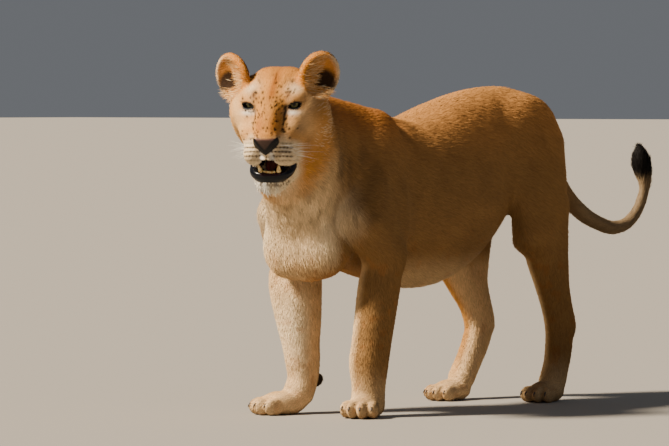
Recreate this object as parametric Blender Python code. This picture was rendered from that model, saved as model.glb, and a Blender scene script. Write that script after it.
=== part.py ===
"""Lioness, life size, standing still with her head turned to her left and her mouth open.

She faces -X, her left side is towards -Y, and her soles rest on Z = 0. The body is one smooth
field made of ovals carried along paths and of eggs, blended into each other. Its zero level is
meshed in three resolutions (trunk, head, paws) and parted by thin plane cuts into the parts that
a person would name. Eyes, teeth and tongue are separate pieces set into their sockets.
"""
import bpy
import bmesh
import numpy as np
from math import cos, sin, pi, radians
from mathutils import Matrix

# Driving dimensions, metres and degrees
GAP = 0.0003                      # clearance between neighbouring parts
TRUNK_CELL = 0.011                # mesh fineness of trunk and limbs
PAW_CELL = 0.0065
HEAD_CELL = 0.0055
MIDDLE = (-0.043, 0, 0)           # puts the origin under the middle of the figure
HEAD_CENTRE = (-0.779, -0.110, 0.859)   # midway between the eyes
HEAD_TURN = 28                    # head turned to her left
HEAD_TILT = 28                    # nose below the level
JAW_DROP = 20
JAW_TURN = -2.5                   # the lower jaw hangs a little to her right
EYE_RADIUS = 0.0185
EYE_SPREAD = 0.060                # from the midline to each eye
EYE_OUTWARD = 18                  # each eye looks this much away from the midline
LID_OPENING = (0.0150, 0.0078)    # half width and half height
LID_SLANT = 14
EAR_HEIGHT = 0.132
EAR_WIDTH = 0.110
EAR_SPLAY = 34
EAR_BACK = -0.105                 # behind the eyes
EAR_PLACES = {"left": (0.114, 0.034), "right": (0.124, 0.029)}    # out and up from the eyes
PAW_LENGTH = 0.136
HIND_PAW_SCALE = 0.94
ANKLE_LEVEL = 0.080               # paws are parted from the legs here
ELBOW_LEVEL = 0.372
HOCK_LEVEL = 0.190
STIFLE_LEVEL = 0.430
TAIL_CUTS = (0.530, 0.645, 0.800)       # along X
TUFT_LEVEL = 0.632
SIDES = (("left", 1), ("right", -1))    # sign along a frame's left axis

# Triangles kept in each mesh after thinning
TRUNK_FACES = 2240
HEAD_FACES = 1650
PAW_FACES = 270

FAR = 0.25                        # field value away from every shape


def unit(v):
    v = np.asarray(v, float)
    return v / np.linalg.norm(v)


def smooth_min(a, b, k):
    """The smaller of a and b, rounded over a blend of width k."""
    h = np.clip(0.5 + 0.5 * (b - a) / k, 0.0, 1.0)
    return b + (a - b) * h - k * h * (1.0 - h)


def turned_axes(yaw, pitch, roll):
    """Rows forward, left and up; yaw turns to the left, pitch tips the nose down."""
    cy, sy = cos(radians(yaw)), sin(radians(yaw))
    cp, sp = cos(radians(pitch)), sin(radians(pitch))
    cr, sr = cos(radians(roll)), sin(radians(roll))
    forward = np.array([cy * cp, sy * cp, -sp])
    left = np.array([-sy, cy, 0.0])
    up = np.cross(forward, left)
    return np.array([forward, cr * left + sr * up, cr * up - sr * left])


class Frame:
    """A place on the body with its own forward, left and up."""

    def __init__(self, origin=(0, 0, 0), axes=np.eye(3)):
        self.origin = np.asarray(origin, float)
        self.axes = np.asarray(axes, float)

    def place(self, p):
        return self.origin + np.asarray(p, float) @ self.axes

    def child(self, origin, yaw=0, pitch=0, roll=0):
        return Frame(self.place(origin), turned_axes(yaw, pitch, roll) @ self.axes)


WORLD = Frame()
BODY = Frame((0, 0, 0), [(-1, 0, 0), (0, -1, 0), (0, 0, 1)])
HEAD = Frame(HEAD_CENTRE, turned_axes(HEAD_TURN, HEAD_TILT, 0) @ BODY.axes)
JAW = HEAD.child((-0.095, 0, -0.060), yaw=JAW_TURN, pitch=JAW_DROP)
MOUTH_SHIFT = -0.003              # lower teeth and lip, likewise to her right


class Egg:
    """An ellipsoid in a frame."""

    def __init__(self, centre, radii, frame=WORLD):
        self.centre = frame.place(centre)
        self.radii = np.asarray(radii, float)
        self.axes = frame.axes
        half = np.sqrt(((self.axes * self.radii[:, None]) ** 2).sum(0))
        self.lo, self.hi = self.centre - half, self.centre + half

    def distance(self, points):
        q = (points - self.centre) @ self.axes.T
        k0 = np.sqrt(((q / self.radii) ** 2).sum(1))
        k1 = np.sqrt(((q / self.radii ** 2) ** 2).sum(1))
        return k0 * (k0 - 1.0) / np.maximum(k1, 1e-9)


def smooth_rings(rings, steps=4):
    """Catmull-Rom curve through the rings, all their values at once."""
    r = np.asarray(rings, float)
    r = np.vstack([2 * r[0] - r[1], r, 2 * r[-1] - r[-2]])
    out = []
    for i in range(1, len(r) - 2):
        p0, p1, p2, p3 = r[i - 1:i + 3]
        for t in np.arange(steps) / steps:
            out.append(0.5 * (2 * p1 + (p2 - p0) * t + (2 * p0 - 5 * p1 + 4 * p2 - p3) * t * t
                              + (3 * p1 - p0 - 3 * p2 + p3) * t ** 3))
    out.append(r[-2])
    return np.array(out)


class Limb:
    """An oval carried along a smooth path.

    Each ring is x, y, z, the half width to the side, and the reach to its upper and lower side.
    The side axis is given; the upper side is the path's direction crossed with it.
    """

    def __init__(self, rings, side=(0, 1, 0), caps=(1.0, 1.0), frame=WORLD, power=2.0):
        rings = smooth_rings(rings)
        self.centres = frame.origin + rings[:, :3] @ frame.axes
        self.reach = rings[:, 3:6]
        along = np.gradient(self.centres, axis=0)
        along /= np.linalg.norm(along, axis=1)[:, None]
        side = np.asarray(side, float) @ frame.axes
        across = side - (along @ side)[:, None] * along
        self.across = across / np.linalg.norm(across, axis=1)[:, None]
        self.upper = np.cross(along, self.across)
        self.caps, self.power = caps, power
        margin = self.reach.max()
        self.lo = self.centres.min(0) - margin
        self.hi = self.centres.max(0) + margin

    def distance(self, points):
        best = np.full(len(points), 9.0)
        last = len(self.centres) - 2
        for j in range(last + 1):
            step = self.centres[j + 1] - self.centres[j]
            t = np.clip(((points - self.centres[j]) @ step) / (step @ step), 0.0, 1.0)
            q = points - self.centres[j] - t[:, None] * step
            u = (q @ self.across[j]) * (1 - t) + (q @ self.across[j + 1]) * t
            v = (q @ self.upper[j]) * (1 - t) + (q @ self.upper[j + 1]) * t
            w = q @ unit(step)
            r = self.reach[j] * (1 - t)[:, None] + self.reach[j + 1] * t[:, None]
            ru = r[:, 0]
            rv = np.where(v > 0, r[:, 1], r[:, 2])
            small = r.min(1)
            rw = small.copy()
            if j == 0:
                rw = np.where(t <= 0, small * self.caps[0], rw)
            if j == last:
                rw = np.where(t >= 1, small * self.caps[1], rw)
            n = self.power
            k0 = (np.abs(u / ru) ** n + np.abs(v / rv) ** n + np.abs(w / rw) ** n) ** (1 / n)
            length = np.sqrt(u * u + v * v + w * w)
            d = np.where(k0 > 1e-6, length * (1 - 1 / np.maximum(k0, 1e-6)), -small)
            best = np.minimum(best, d)
        return best


class Field:
    """Shapes blended in order; cuts take shapes away."""

    def __init__(self):
        self.steps = []

    def add(self, shape, blend):
        self.steps.append((1, shape, blend))

    def cut(self, shape, blend):
        self.steps.append((-1, shape, blend))

    def egg(self, centre, radii, blend=0.015, frame=WORLD):
        self.add(Egg(centre, radii, frame), blend)

    def limb(self, rings, blend=0.02, **options):
        self.add(Limb(rings, **options), blend)

    def at(self, points):
        f = np.full(len(points), FAR)
        for sign, shape, blend in self.steps:
            reach = blend + 0.03
            near = np.all((points > shape.lo - reach) & (points < shape.hi + reach), axis=1)
            i = np.nonzero(near)[0]
            if len(i):
                f[i] = sign * smooth_min(sign * f[i], shape.distance(points[i]), blend)
        return f

    def grid(self, lo, hi, cell):
        """Field values on a grid; each shape is worked out only around itself."""
        lo = np.asarray(lo, float)
        n = np.ceil((np.asarray(hi, float) - lo) / cell).astype(int) + 1
        axes = [lo[a] + cell * np.arange(n[a]) for a in range(3)]
        f = np.full(n, FAR)
        for sign, shape, blend in self.steps:
            reach = blend + 3 * cell
            first = np.clip(np.floor((shape.lo - reach - lo) / cell).astype(int), 0, n)
            stop = np.clip(np.ceil((shape.hi + reach - lo) / cell).astype(int) + 1, 0, n)
            if np.any(stop <= first):
                continue
            part = tuple(slice(first[a], stop[a]) for a in range(3))
            points = np.stack(np.meshgrid(*[axes[a][part[a]] for a in range(3)], indexing="ij"), -1)
            d = shape.distance(points.reshape(-1, 3)).reshape(points.shape[:3])
            f[part] = sign * smooth_min(sign * f[part], d, blend)
        return f

    def settle(self, points):
        """Move points onto the zero level along the field's slope."""
        step = 0.0012
        slope = np.empty_like(points)
        for a in range(3):
            d = np.zeros(3)
            d[a] = step
            slope[:, a] = (self.at(points + d) - self.at(points - d)) / (2 * step)
        size = np.maximum(np.linalg.norm(slope, axis=1), 0.35)
        move = np.clip(self.at(points) / size, -0.006, 0.006)
        return points - move[:, None] * slope / size[:, None]


def trunk_and_neck(body):
    body.limb([
        (-0.500, 0, 0.550, 0.118, 0.130, 0.135),
        (-0.430, 0, 0.580, 0.141, 0.205, 0.172),
        (-0.340, 0, 0.600, 0.155, 0.243, 0.203),
        (-0.240, 0, 0.600, 0.165, 0.236, 0.228),
        (-0.140, 0, 0.590, 0.174, 0.232, 0.244),
        (-0.040, 0, 0.585, 0.178, 0.252, 0.243),
        (0.060, 0, 0.605, 0.172, 0.263, 0.212),
        (0.160, 0, 0.645, 0.153, 0.253, 0.168),
        (0.260, 0, 0.680, 0.141, 0.236, 0.135),
        (0.340, 0, 0.700, 0.142, 0.216, 0.130),
        (0.410, 0, 0.700, 0.125, 0.185, 0.130)], caps=(0.45, 0.80), power=2.15)
    body.limb([
        (-0.330, 0.000, 0.650, 0.150, 0.200, 0.215),
        (-0.430, -0.005, 0.680, 0.145, 0.200, 0.205),
        (-0.520, -0.018, 0.715, 0.132, 0.182, 0.190),
        (-0.595, -0.035, 0.765, 0.118, 0.150, 0.165),
        (-0.655, -0.050, 0.820, 0.104, 0.112, 0.140)], 0.05, side=(0, -1, 0))
    body.egg((-0.515, 0.062, 0.475), (0.070, 0.078, 0.095), 0.04)
    body.egg((-0.500, -0.060, 0.480), (0.070, 0.075, 0.095), 0.04)
    body.egg((-0.500, 0.000, 0.460), (0.065, 0.070, 0.085), 0.04)


def shoulders(body):
    # the right shoulder stands a little ahead, as that leg steps forward
    for s, ahead in ((-1, 0.0), (1, -0.03)):
        body.limb([
            (-0.290 + ahead, s * 0.070, 0.795, 0.045, 0.060, 0.060),
            (-0.370 + ahead, s * 0.122, 0.670, 0.058, 0.085, 0.075),
            (-0.450 + 0.4 * ahead, s * 0.138, 0.555, 0.062, 0.085, 0.072)], 0.03)
        body.limb([
            (-0.450 + 0.4 * ahead, s * 0.140, 0.555, 0.060, 0.080, 0.068),
            (-0.405 + ahead, s * 0.150, 0.495, 0.060, 0.080, 0.068),
            (-0.350 + ahead, s * 0.146, 0.440, 0.058, 0.062, 0.065)], 0.02)
        body.egg((-0.325 + ahead, s * 0.148, 0.545), (0.085, 0.048, 0.105), 0.03)


def forelegs(body):
    body.limb([
        (-0.345, -0.146, 0.450, 0.055, 0.052, 0.064),
        (-0.362, -0.138, 0.360, 0.058, 0.058, 0.064),
        (-0.374, -0.132, 0.270, 0.057, 0.055, 0.061),
        (-0.384, -0.127, 0.200, 0.056, 0.054, 0.056),
        (-0.392, -0.125, 0.150, 0.056, 0.054, 0.056),
        (-0.396, -0.128, 0.100, 0.050, 0.047, 0.050),
        (-0.400, -0.130, 0.060, 0.048, 0.042, 0.046)])
    body.limb([
        (-0.378, 0.148, 0.450, 0.070, 0.066, 0.074),
        (-0.410, 0.130, 0.360, 0.076, 0.072, 0.076),
        (-0.418, 0.112, 0.270, 0.066, 0.064, 0.066),
        (-0.418, 0.104, 0.200, 0.055, 0.054, 0.054),
        (-0.415, 0.100, 0.150, 0.050, 0.050, 0.050),
        (-0.416, 0.098, 0.100, 0.045, 0.044, 0.044),
        (-0.430, 0.100, 0.058, 0.046, 0.038, 0.044)])
    # carpal pads behind the wrists
    body.egg((-0.366, 0.086, 0.110), (0.018, 0.018, 0.022), 0.008)
    body.egg((-0.344, -0.112, 0.125), (0.016, 0.016, 0.020), 0.008)


def hind_legs(body):
    # the right hind leg stands further forward below the hip
    for s, ahead in ((-1, 0.0), (1, -0.05)):
        body.egg((0.345 + 0.2 * ahead, s * 0.075, 0.775), (0.137, 0.078, 0.117), 0.03)
        body.limb([
            (0.385 + 0.3 * ahead, s * 0.095, 0.750, 0.068, 0.100, 0.110),
            (0.355 + 0.3 * ahead, s * 0.122, 0.640, 0.068, 0.112, 0.125),
            (0.325 + 0.7 * ahead, s * 0.138, 0.540, 0.062, 0.100 - 0.5 * ahead, 0.092),
            (0.292 + ahead, s * 0.142, 0.475, 0.052, 0.075, 0.050)], 0.03)
    body.limb([
        (0.322, -0.140, 0.500, 0.052, 0.075, 0.064),
        (0.362, -0.138, 0.430, 0.050, 0.070, 0.062),
        (0.400, -0.133, 0.350, 0.043, 0.052, 0.054),
        (0.430, -0.129, 0.280, 0.038, 0.046, 0.049),
        (0.450, -0.127, 0.215, 0.038, 0.050, 0.048),
        (0.452, -0.124, 0.160, 0.038, 0.046, 0.044),
        (0.446, -0.121, 0.110, 0.038, 0.042, 0.040),
        (0.430, -0.120, 0.062, 0.042, 0.037, 0.038)])
    body.limb([
        (0.405, -0.135, 0.560, 0.050, 0.055, 0.070),
        (0.422, -0.136, 0.450, 0.042, 0.036, 0.050),
        (0.450, -0.131, 0.320, 0.025, 0.024, 0.030),
        (0.482, -0.128, 0.218, 0.024, 0.024, 0.025)], 0.03)
    body.limb([
        (0.240, 0.142, 0.490, 0.055, 0.100, 0.072),
        (0.290, 0.142, 0.415, 0.052, 0.084, 0.066),
        (0.332, 0.138, 0.345, 0.045, 0.064, 0.056),
        (0.372, 0.132, 0.280, 0.038, 0.052, 0.050),
        (0.392, 0.128, 0.215, 0.038, 0.050, 0.048),
        (0.374, 0.124, 0.165, 0.038, 0.045, 0.045),
        (0.342, 0.121, 0.115, 0.038, 0.040, 0.042),
        (0.306, 0.120, 0.065, 0.042, 0.036, 0.038)])
    body.limb([
        (0.390, 0.137, 0.560, 0.050, 0.075, 0.070),
        (0.388, 0.139, 0.450, 0.042, 0.062, 0.050),
        (0.398, 0.134, 0.330, 0.028, 0.030, 0.030),
        (0.424, 0.130, 0.218, 0.024, 0.024, 0.025)], 0.03)


def tail(body):
    body.limb([
        (0.420, 0.000, 0.790, 0.050, 0.050, 0.050),
        (0.495, 0.000, 0.758, 0.040, 0.040, 0.042),
        (0.560, 0.000, 0.678, 0.031, 0.031, 0.031),
        (0.630, -0.008, 0.592, 0.026, 0.026, 0.026),
        (0.695, -0.020, 0.538, 0.024, 0.024, 0.024),
        (0.756, -0.032, 0.508, 0.022, 0.022, 0.022),
        (0.810, -0.043, 0.493, 0.021, 0.021, 0.021),
        (0.860, -0.056, 0.503, 0.019, 0.019, 0.019),
        (0.900, -0.066, 0.538, 0.017, 0.017, 0.017),
        (0.920, -0.075, 0.586, 0.016, 0.016, 0.016),
        (0.923, -0.080, 0.625, 0.016, 0.016, 0.016)], 0.03, caps=(1, 0.6))
    body.limb([
        (0.923, -0.080, 0.615, 0.015, 0.015, 0.015),
        (0.917, -0.080, 0.650, 0.023, 0.023, 0.023),
        (0.906, -0.080, 0.685, 0.027, 0.027, 0.027),
        (0.900, -0.080, 0.712, 0.018, 0.018, 0.018),
        (0.899, -0.080, 0.730, 0.006, 0.006, 0.006)], 0.008)


# name, middle on the floor, turned outwards by, scale
PAWS = (
    ("forepaw_left", (-0.415, -0.135), 20, 1.0),
    ("forepaw_right", (-0.480, 0.117), -22, 1.0),
    ("hindpaw_left", (0.395, -0.124), 6, HIND_PAW_SCALE),
    ("hindpaw_right", (0.262, 0.122), -6, HIND_PAW_SCALE),
)


def paws(body):
    for name, (x, y), turn, scale in PAWS:
        paw = Frame((x, y, 0), scale * turned_axes(turn, 0, 0) @ BODY.axes)
        flat = Frame(paw.origin, paw.axes / scale)
        size = np.array((PAW_LENGTH / 2, 0.048, 0.036)) * scale
        body.egg((0, 0, 0.030 * scale), size, 0.015, flat)
        # four toes, the middle two ahead
        for s, ahead in ((-0.037, 0.044), (-0.0135, 0.062), (0.0135, 0.062), (0.037, 0.044)):
            toe = flat.child((ahead * scale, s * scale, 0.024 * scale), yaw=s * 300)
            body.egg((0, 0, 0), np.array((0.034, 0.0165, 0.026)) * scale, 0.006, toe)


def skull(body):
    body.egg((-0.105, 0, -0.030), (0.100, 0.090, 0.078), 0.03, HEAD)
    body.egg((-0.045, 0, -0.020), (0.070, 0.074, 0.052), 0.02, HEAD)
    # broad nose bridge
    body.limb([
        (-0.040, 0, -0.018, 0.048, 0.034, 0.050),
        (0.000, 0, -0.032, 0.041, 0.038, 0.050),
        (0.040, 0, -0.052, 0.038, 0.036, 0.045),
        (0.068, 0, -0.068, 0.036, 0.034, 0.034),
        (0.080, 0, -0.075, 0.035, 0.032, 0.030)],
        0.015, side=(0, -1, 0), frame=HEAD, power=2.4, caps=(1.0, 0.55))
    body.egg((0.010, 0, -0.070), (0.085, 0.060, 0.050), 0.02, HEAD)
    for name, s in SIDES:
        body.egg((-0.112, s * 0.034, -0.022), (0.075, 0.056, 0.066), 0.02, HEAD)
        # cheek, ruff, brow and cheekbone
        body.egg((-0.058, s * 0.076, -0.048), (0.070, 0.052, 0.064), 0.025, HEAD)
        body.egg((-0.095, s * 0.090, -0.085), (0.060, 0.048, 0.080), 0.03, HEAD)
        body.egg((-0.032, s * 0.052, 0.008), (0.034, 0.034, 0.018), 0.02, HEAD)
        body.egg((-0.020, s * 0.068, -0.036), (0.040, 0.034, 0.026), 0.02, HEAD)


def muzzle(body):
    for name, s in SIDES:
        pad = HEAD.child((0.058, s * 0.035, -0.108), yaw=s * 14)
        body.egg((0, 0, 0), (0.054, 0.036, 0.036), 0.010, pad)
        body.egg((0.028, s * 0.040, -0.086), (0.056, 0.034, 0.040), 0.015, HEAD)
        body.egg((0.026, s * 0.046, -0.120), (0.052, 0.025, 0.040), 0.015, HEAD)
        body.egg((-0.020, s * 0.060, -0.115), (0.055, 0.030, 0.050), 0.02, HEAD)
        body.egg((0.004, s * 0.055, -0.066), (0.055, 0.036, 0.034), 0.025, HEAD)
    # middle of the upper lip
    body.egg((0.082, 0, -0.108), (0.032, 0.024, 0.014), 0.010, HEAD)
    # nose pad: a wedge, broad above and pointed below
    body.limb([
        (0.088, 0, -0.052, 0.034, 0.017, 0.020),
        (0.092, 0, -0.062, 0.036, 0.019, 0.020),
        (0.095, 0, -0.076, 0.024, 0.019, 0.020),
        (0.096, 0, -0.092, 0.008, 0.016, 0.018)],
        0.005, side=(0, 1, 0), frame=HEAD, power=2.4, caps=(0.6, 0.8))


def jaw_and_throat(body):
    for name, s in SIDES:
        body.limb([
            (-0.010, s * 0.070, -0.030, 0.032, 0.040, 0.050),
            (0.060, s * 0.060, -0.060, 0.030, 0.035, 0.045),
            (0.130, s * 0.044, -0.070, 0.024, 0.030, 0.036),
            (0.188, s * 0.026, -0.070, 0.020, 0.026, 0.034)], 0.015, side=(0, -1, 0), frame=JAW)
    body.egg((0.200, 0, -0.075), (0.036, 0.046, 0.032), 0.015, JAW)
    body.egg((0.100, 0, -0.096), (0.105, 0.064, 0.034), 0.02, JAW)
    body.limb([
        (0.120, 0, -0.100, 0.060, 0.040, 0.036),
        (0.040, 0, -0.120, 0.084, 0.060, 0.056),
        (-0.060, 0, -0.140, 0.096, 0.070, 0.070)], 0.03, side=(0, -1, 0), frame=JAW)


def mouth(body):
    inside = HEAD.child((0.048, 0, -0.136), pitch=14)
    body.cut(Egg((0, 0, 0.002), (0.104, 0.034, 0.021), inside), 0.006)
    # lower lip, one swag from corner to corner
    swag = []
    for a in np.linspace(-1, 1, 9):
        swag.append((0.088 - 0.052 * abs(a) ** 2.6, 0.052 * sin(a * pi / 2) + MOUTH_SHIFT,
                     -0.1725 + 0.006 * a ** 4, 0.0115, 0.0125, 0.0145))
    body.limb(swag, 0.006, side=(1, 0, 0), frame=HEAD)


def ears(body):
    for name, s in SIDES:
        out, up = EAR_PLACES[name]
        ear = HEAD.child((EAR_BACK, s * out, up), pitch=-18, yaw=s * 30)
        cup = ear.child((0, 0, 0), roll=-s * EAR_SPLAY)
        body.egg((0, 0, 0), (0.023, EAR_WIDTH / 2, EAR_HEIGHT / 2), 0.015, cup)
        # lobe at its lower edge
        body.egg((EAR_BACK - 0.005, s * (out + 0.006), up - 0.036), (0.024, 0.022, 0.038), 0.012, HEAD)
        body.cut(Egg((0.031, 0, 0.002), (0.036, 0.051, 0.060), cup), 0.006)


def eye_frame(s):
    """Centre of an eyeball, set back so that the ball fills its lids."""
    return HEAD.child((-0.0205, s * EYE_SPREAD, -0.005), yaw=s * EYE_OUTWARD)


def lioness_field():
    body = Field()
    trunk_and_neck(body)
    shoulders(body)
    forelegs(body)
    hind_legs(body)
    tail(body)
    paws(body)
    skull(body)
    muzzle(body)
    jaw_and_throat(body)
    mouth(body)
    for name, s in SIDES:
        body.egg((0, 0, 0), (0.0215, 0.0225, 0.0205), 0.008, eye_frame(s))
    ears(body)
    return body


def join_diagonals(f, cell):
    """Fill grid faces whose inside corners meet only across a diagonal, where a net would pinch."""
    for again in range(6):
        found = 0
        for a in range(3):
            views = {}
            for db in (0, 1):
                for dc in (0, 1):
                    part = [slice(None)] * 3
                    part[(a + 1) % 3] = slice(db, db - 1 or None)
                    part[(a + 2) % 3] = slice(dc, dc - 1 or None)
                    views[db, dc] = f[tuple(part)]
            inside = {key: view < 0 for key, view in views.items()}
            odd = ((inside[0, 0] == inside[1, 1]) & (inside[0, 1] == inside[1, 0])
                   & (inside[0, 0] != inside[0, 1]))
            found += odd.sum()
            for key, view in views.items():
                view[odd & ~inside[key]] = -0.05 * cell
        if not found:
            break


def surface_net(f, lo, cell):
    """Points and quads of the zero level: one point in each cell that it crosses."""
    inside = f < 0
    shape = np.array(f.shape) - 1
    corners = [(i, j, k) for i in (0, 1) for j in (0, 1) for k in (0, 1)]
    count = sum(inside[i:shape[0] + i, j:shape[1] + j, k:shape[2] + k].astype(int)
                for i, j, k in corners)
    cells = np.argwhere((count > 0) & (count < 8))
    total = np.zeros((len(cells), 3))
    crossings = np.zeros(len(cells))
    for a in range(3):
        for corner in corners:
            if corner[a]:
                continue
            start = cells + corner
            stop = start.copy()
            stop[:, a] += 1
            f0, f1 = f[tuple(start.T)], f[tuple(stop.T)]
            crossed = (f0 < 0) != (f1 < 0)
            t = np.where(crossed, f0 / np.where(crossed, f0 - f1, 1), 0)
            point = np.tile(np.array(corner, float), (len(cells), 1))
            point[:, a] += t
            total += np.where(crossed[:, None], point, 0)
            crossings += crossed
    points = lo + cell * (cells + total / crossings[:, None])
    number = np.full(shape, -1)
    number[tuple(cells.T)] = np.arange(len(cells))
    quads = []
    for a in range(3):
        b, c = (a + 1) % 3, (a + 2) % 3
        low, high = [slice(None)] * 3, [slice(None)] * 3
        low[a], high[a] = slice(0, -1), slice(1, None)
        start, stop = inside[tuple(low)], inside[tuple(high)]
        edges = np.argwhere(start != stop)
        ring = []
        for db, dc in ((-1, -1), (0, -1), (0, 0), (-1, 0)):
            near = edges.copy()
            near[:, b] += db
            near[:, c] += dc
            ring.append(number[tuple(near.T)])
        ring = np.stack(ring, 1)
        backwards = ~start[tuple(edges.T)]
        ring[backwards] = ring[backwards][:, ::-1]
        quads.append(ring)
    return points, np.vstack(quads)


def new_object(name, points, faces):
    mesh = bpy.data.meshes.new(name)
    mesh.from_pydata([tuple(p) for p in points], [], [tuple(int(i) for i in q) for q in faces])
    thing = bpy.data.objects.new(name, mesh)
    bpy.context.scene.collection.objects.link(thing)
    return thing


def evaluated(thing):
    """Replace a thing's mesh by what its modifiers give."""
    mesh = bpy.data.meshes.new_from_object(
        thing.evaluated_get(bpy.context.evaluated_depsgraph_get()))
    thing.modifiers.clear()
    old = thing.data
    thing.data = mesh
    bpy.data.meshes.remove(old)


def remove(thing):
    mesh = thing.data
    bpy.data.objects.remove(thing)
    bpy.data.meshes.remove(mesh)


def flesh(name, body, lo, hi, cell, faces):
    """Mesh the field inside a box, close it at the walls, and thin it to a number of faces."""
    lo, hi = np.array(lo), np.array(hi)
    f = body.grid(lo, hi, cell)
    for a in range(3):
        wall = [slice(None)] * 3
        for wall[a] in (0, -1):
            f[tuple(wall)] = cell
    join_diagonals(f, cell)
    points, quads = surface_net(f, lo, cell)
    free = np.all((points > lo + 2 * cell) & (points < lo + cell * (np.array(f.shape) - 3)), axis=1)
    points[free] = body.settle(points[free])
    thing = new_object(name, points, quads)
    thin = thing.modifiers.new("thin", "DECIMATE")
    thin.ratio = faces / (2 * len(quads))
    thin.use_collapse_triangulate = True
    evaluated(thing)
    return thing


def box_corners(lo, hi):
    return [(x, y, z) for x in (lo[0], hi[0]) for y in (lo[1], hi[1]) for z in (lo[2], hi[2])]


def block(frame, lo, hi, grow):
    """A box in a frame, grown on every side."""
    corners = [frame.place(p) for p in box_corners(np.array(lo) - grow, np.array(hi) + grow)]
    faces = [(0, 1, 3, 2), (4, 6, 7, 5), (0, 4, 5, 1), (2, 3, 7, 6), (0, 2, 6, 4), (1, 5, 7, 3)]
    thing = new_object("block", corners, faces)
    outward(thing)
    return thing


def outward(thing):
    mesh = bmesh.new()
    mesh.from_mesh(thing.data)
    bmesh.ops.recalc_face_normals(mesh, faces=mesh.faces)
    mesh.to_mesh(thing.data)
    mesh.free()


def combine(thing, tool, operation):
    """Apply an exact Boolean and drop the tool."""
    step = thing.modifiers.new("cut", "BOOLEAN")
    step.operation = operation
    step.solver = "EXACT"
    step.object = tool
    evaluated(thing)
    remove(tool)


def tidy(thing):
    mesh = bmesh.new()
    mesh.from_mesh(thing.data)
    bmesh.ops.triangulate(mesh, faces=mesh.faces)
    mesh.to_mesh(thing.data)
    mesh.free()


def part_off(name, source, frame, lo, hi):
    """Cut the block off the source as a new part, with the gap between them."""
    piece = bpy.data.objects.new(name, source.data.copy())
    bpy.context.scene.collection.objects.link(piece)
    combine(piece, block(frame, lo, hi, -GAP / 2), "INTERSECT")
    combine(source, block(frame, lo, hi, GAP / 2), "DIFFERENCE")
    return piece


def oval_mesh(name, centre, radii, frame, around=16, rings=10):
    """An ellipsoid with a pole on each end of its forward axis."""
    points = [(1, 0, 0)]
    for i in range(1, rings):
        a = pi * i / rings
        for j in range(around):
            b = 2 * pi * j / around
            points.append((cos(a), sin(a) * cos(b), sin(a) * sin(b)))
    points.append((-1, 0, 0))
    faces = []
    for j in range(around):
        k = (j + 1) % around
        faces.append((0, 1 + j, 1 + k))
        for i in range(rings - 2):
            row = 1 + i * around
            faces.append((row + j, row + around + j, row + around + k, row + k))
        row = 1 + (rings - 2) * around
        faces.append((row + j, len(points) - 1, row + k))
    placed = [frame.place(np.array(centre) + np.array(p) * radii) for p in points]
    thing = new_object(name, placed, faces)
    outward(thing)
    return thing


def horn_mesh(name, rings, frame, around=8):
    """A curved cone through rings of x, y, z and radius, closed by flat ends."""
    rings = smooth_rings(rings, 3)
    points = []
    for (x, y, z, r), along in zip(rings, np.gradient(rings[:, :3], axis=0)):
        t = unit(along)
        across = unit(np.cross(t, (0, 1, 0)))
        upper = np.cross(t, across)
        for j in range(around):
            a = 2 * pi * j / around
            points.append(frame.place(np.array((x, y, z)) + r * (cos(a) * across + sin(a) * upper)))
    faces = [tuple(range(around)), tuple(range(len(points) - around, len(points)))]
    for i in range(len(rings) - 1):
        for j in range(around):
            k = (j + 1) % around
            row = i * around
            faces.append((row + j, row + k, row + around + k, row + around + j))
    thing = new_object(name, points, faces)
    outward(thing)
    return thing


def finish(thing, colour, roughness):
    tidy(thing)
    material = bpy.data.materials.new(thing.name)
    material.use_nodes = True
    shader = material.node_tree.nodes["Principled BSDF"]
    shader.inputs["Base Color"].default_value = (*colour, 1)
    shader.inputs["Roughness"].default_value = roughness
    shader.inputs["Metallic"].default_value = 0
    thing.data.materials.clear()
    thing.data.materials.append(material)
    return thing


TAWNY = (0.48, 0.25, 0.09)
PALE = (0.62, 0.43, 0.24)
DARK = (0.035, 0.025, 0.02)
FUR = 0.85


def head_block(grow):
    """Everything ahead of the nape and above the chest."""
    nape = BODY.child((0.636, 0.024, 0.851), yaw=HEAD_TURN, pitch=16)
    return block(nape, (0, -0.4, -0.215), (0.5, 0.4, 0.4), grow)


def head_parts(body):
    head = flesh("head", body, (-0.98, -0.30, 0.56), (-0.50, 0.12, 1.04), HEAD_CELL, HEAD_FACES)
    combine(head, head_block(-GAP / 2), "INTERSECT")
    parts = []
    for name, s in SIDES:
        base = HEAD.child((EAR_BACK, s * 0.104, 0.000), roll=-s * 49)
        ear = part_off("ear_" + name, head, base, (-0.07, -0.10, 0), (0.09, 0.10, 0.2))
        parts.append(finish(ear, TAWNY, FUR))
    nose = part_off("nose_pad", head, HEAD, (0.098, -0.05, -0.083), (0.15, 0.05, -0.03))
    parts.append(finish(nose, (0.16, 0.08, 0.06), 0.5))
    jaw = part_off("lower_jaw", head, JAW, (0.055, -0.2, -0.25), (0.3, 0.2, -0.025))
    for name, s in SIDES:
        eye = eye_frame(s)
        combine(head, oval_mesh("lids", (0.020, 0, 0), (0.016, *LID_OPENING),
                                eye.child((0, 0, 0), roll=s * LID_SLANT)), "DIFFERENCE")
        socket = EYE_RADIUS + 1.5 * GAP
        combine(head, oval_mesh("socket", (0, 0, 0), (socket,) * 3, eye), "DIFFERENCE")
        ball = oval_mesh("eye_" + name, (0, 0, 0), (EYE_RADIUS,) * 3, eye)
        parts.append(finish(ball, (0.25, 0.22, 0.10), 0.1))
    parts += mouth_parts(jaw)
    parts.append(finish(jaw, PALE, FUR))
    parts.append(finish(head, TAWNY, FUR))
    return parts


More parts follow.
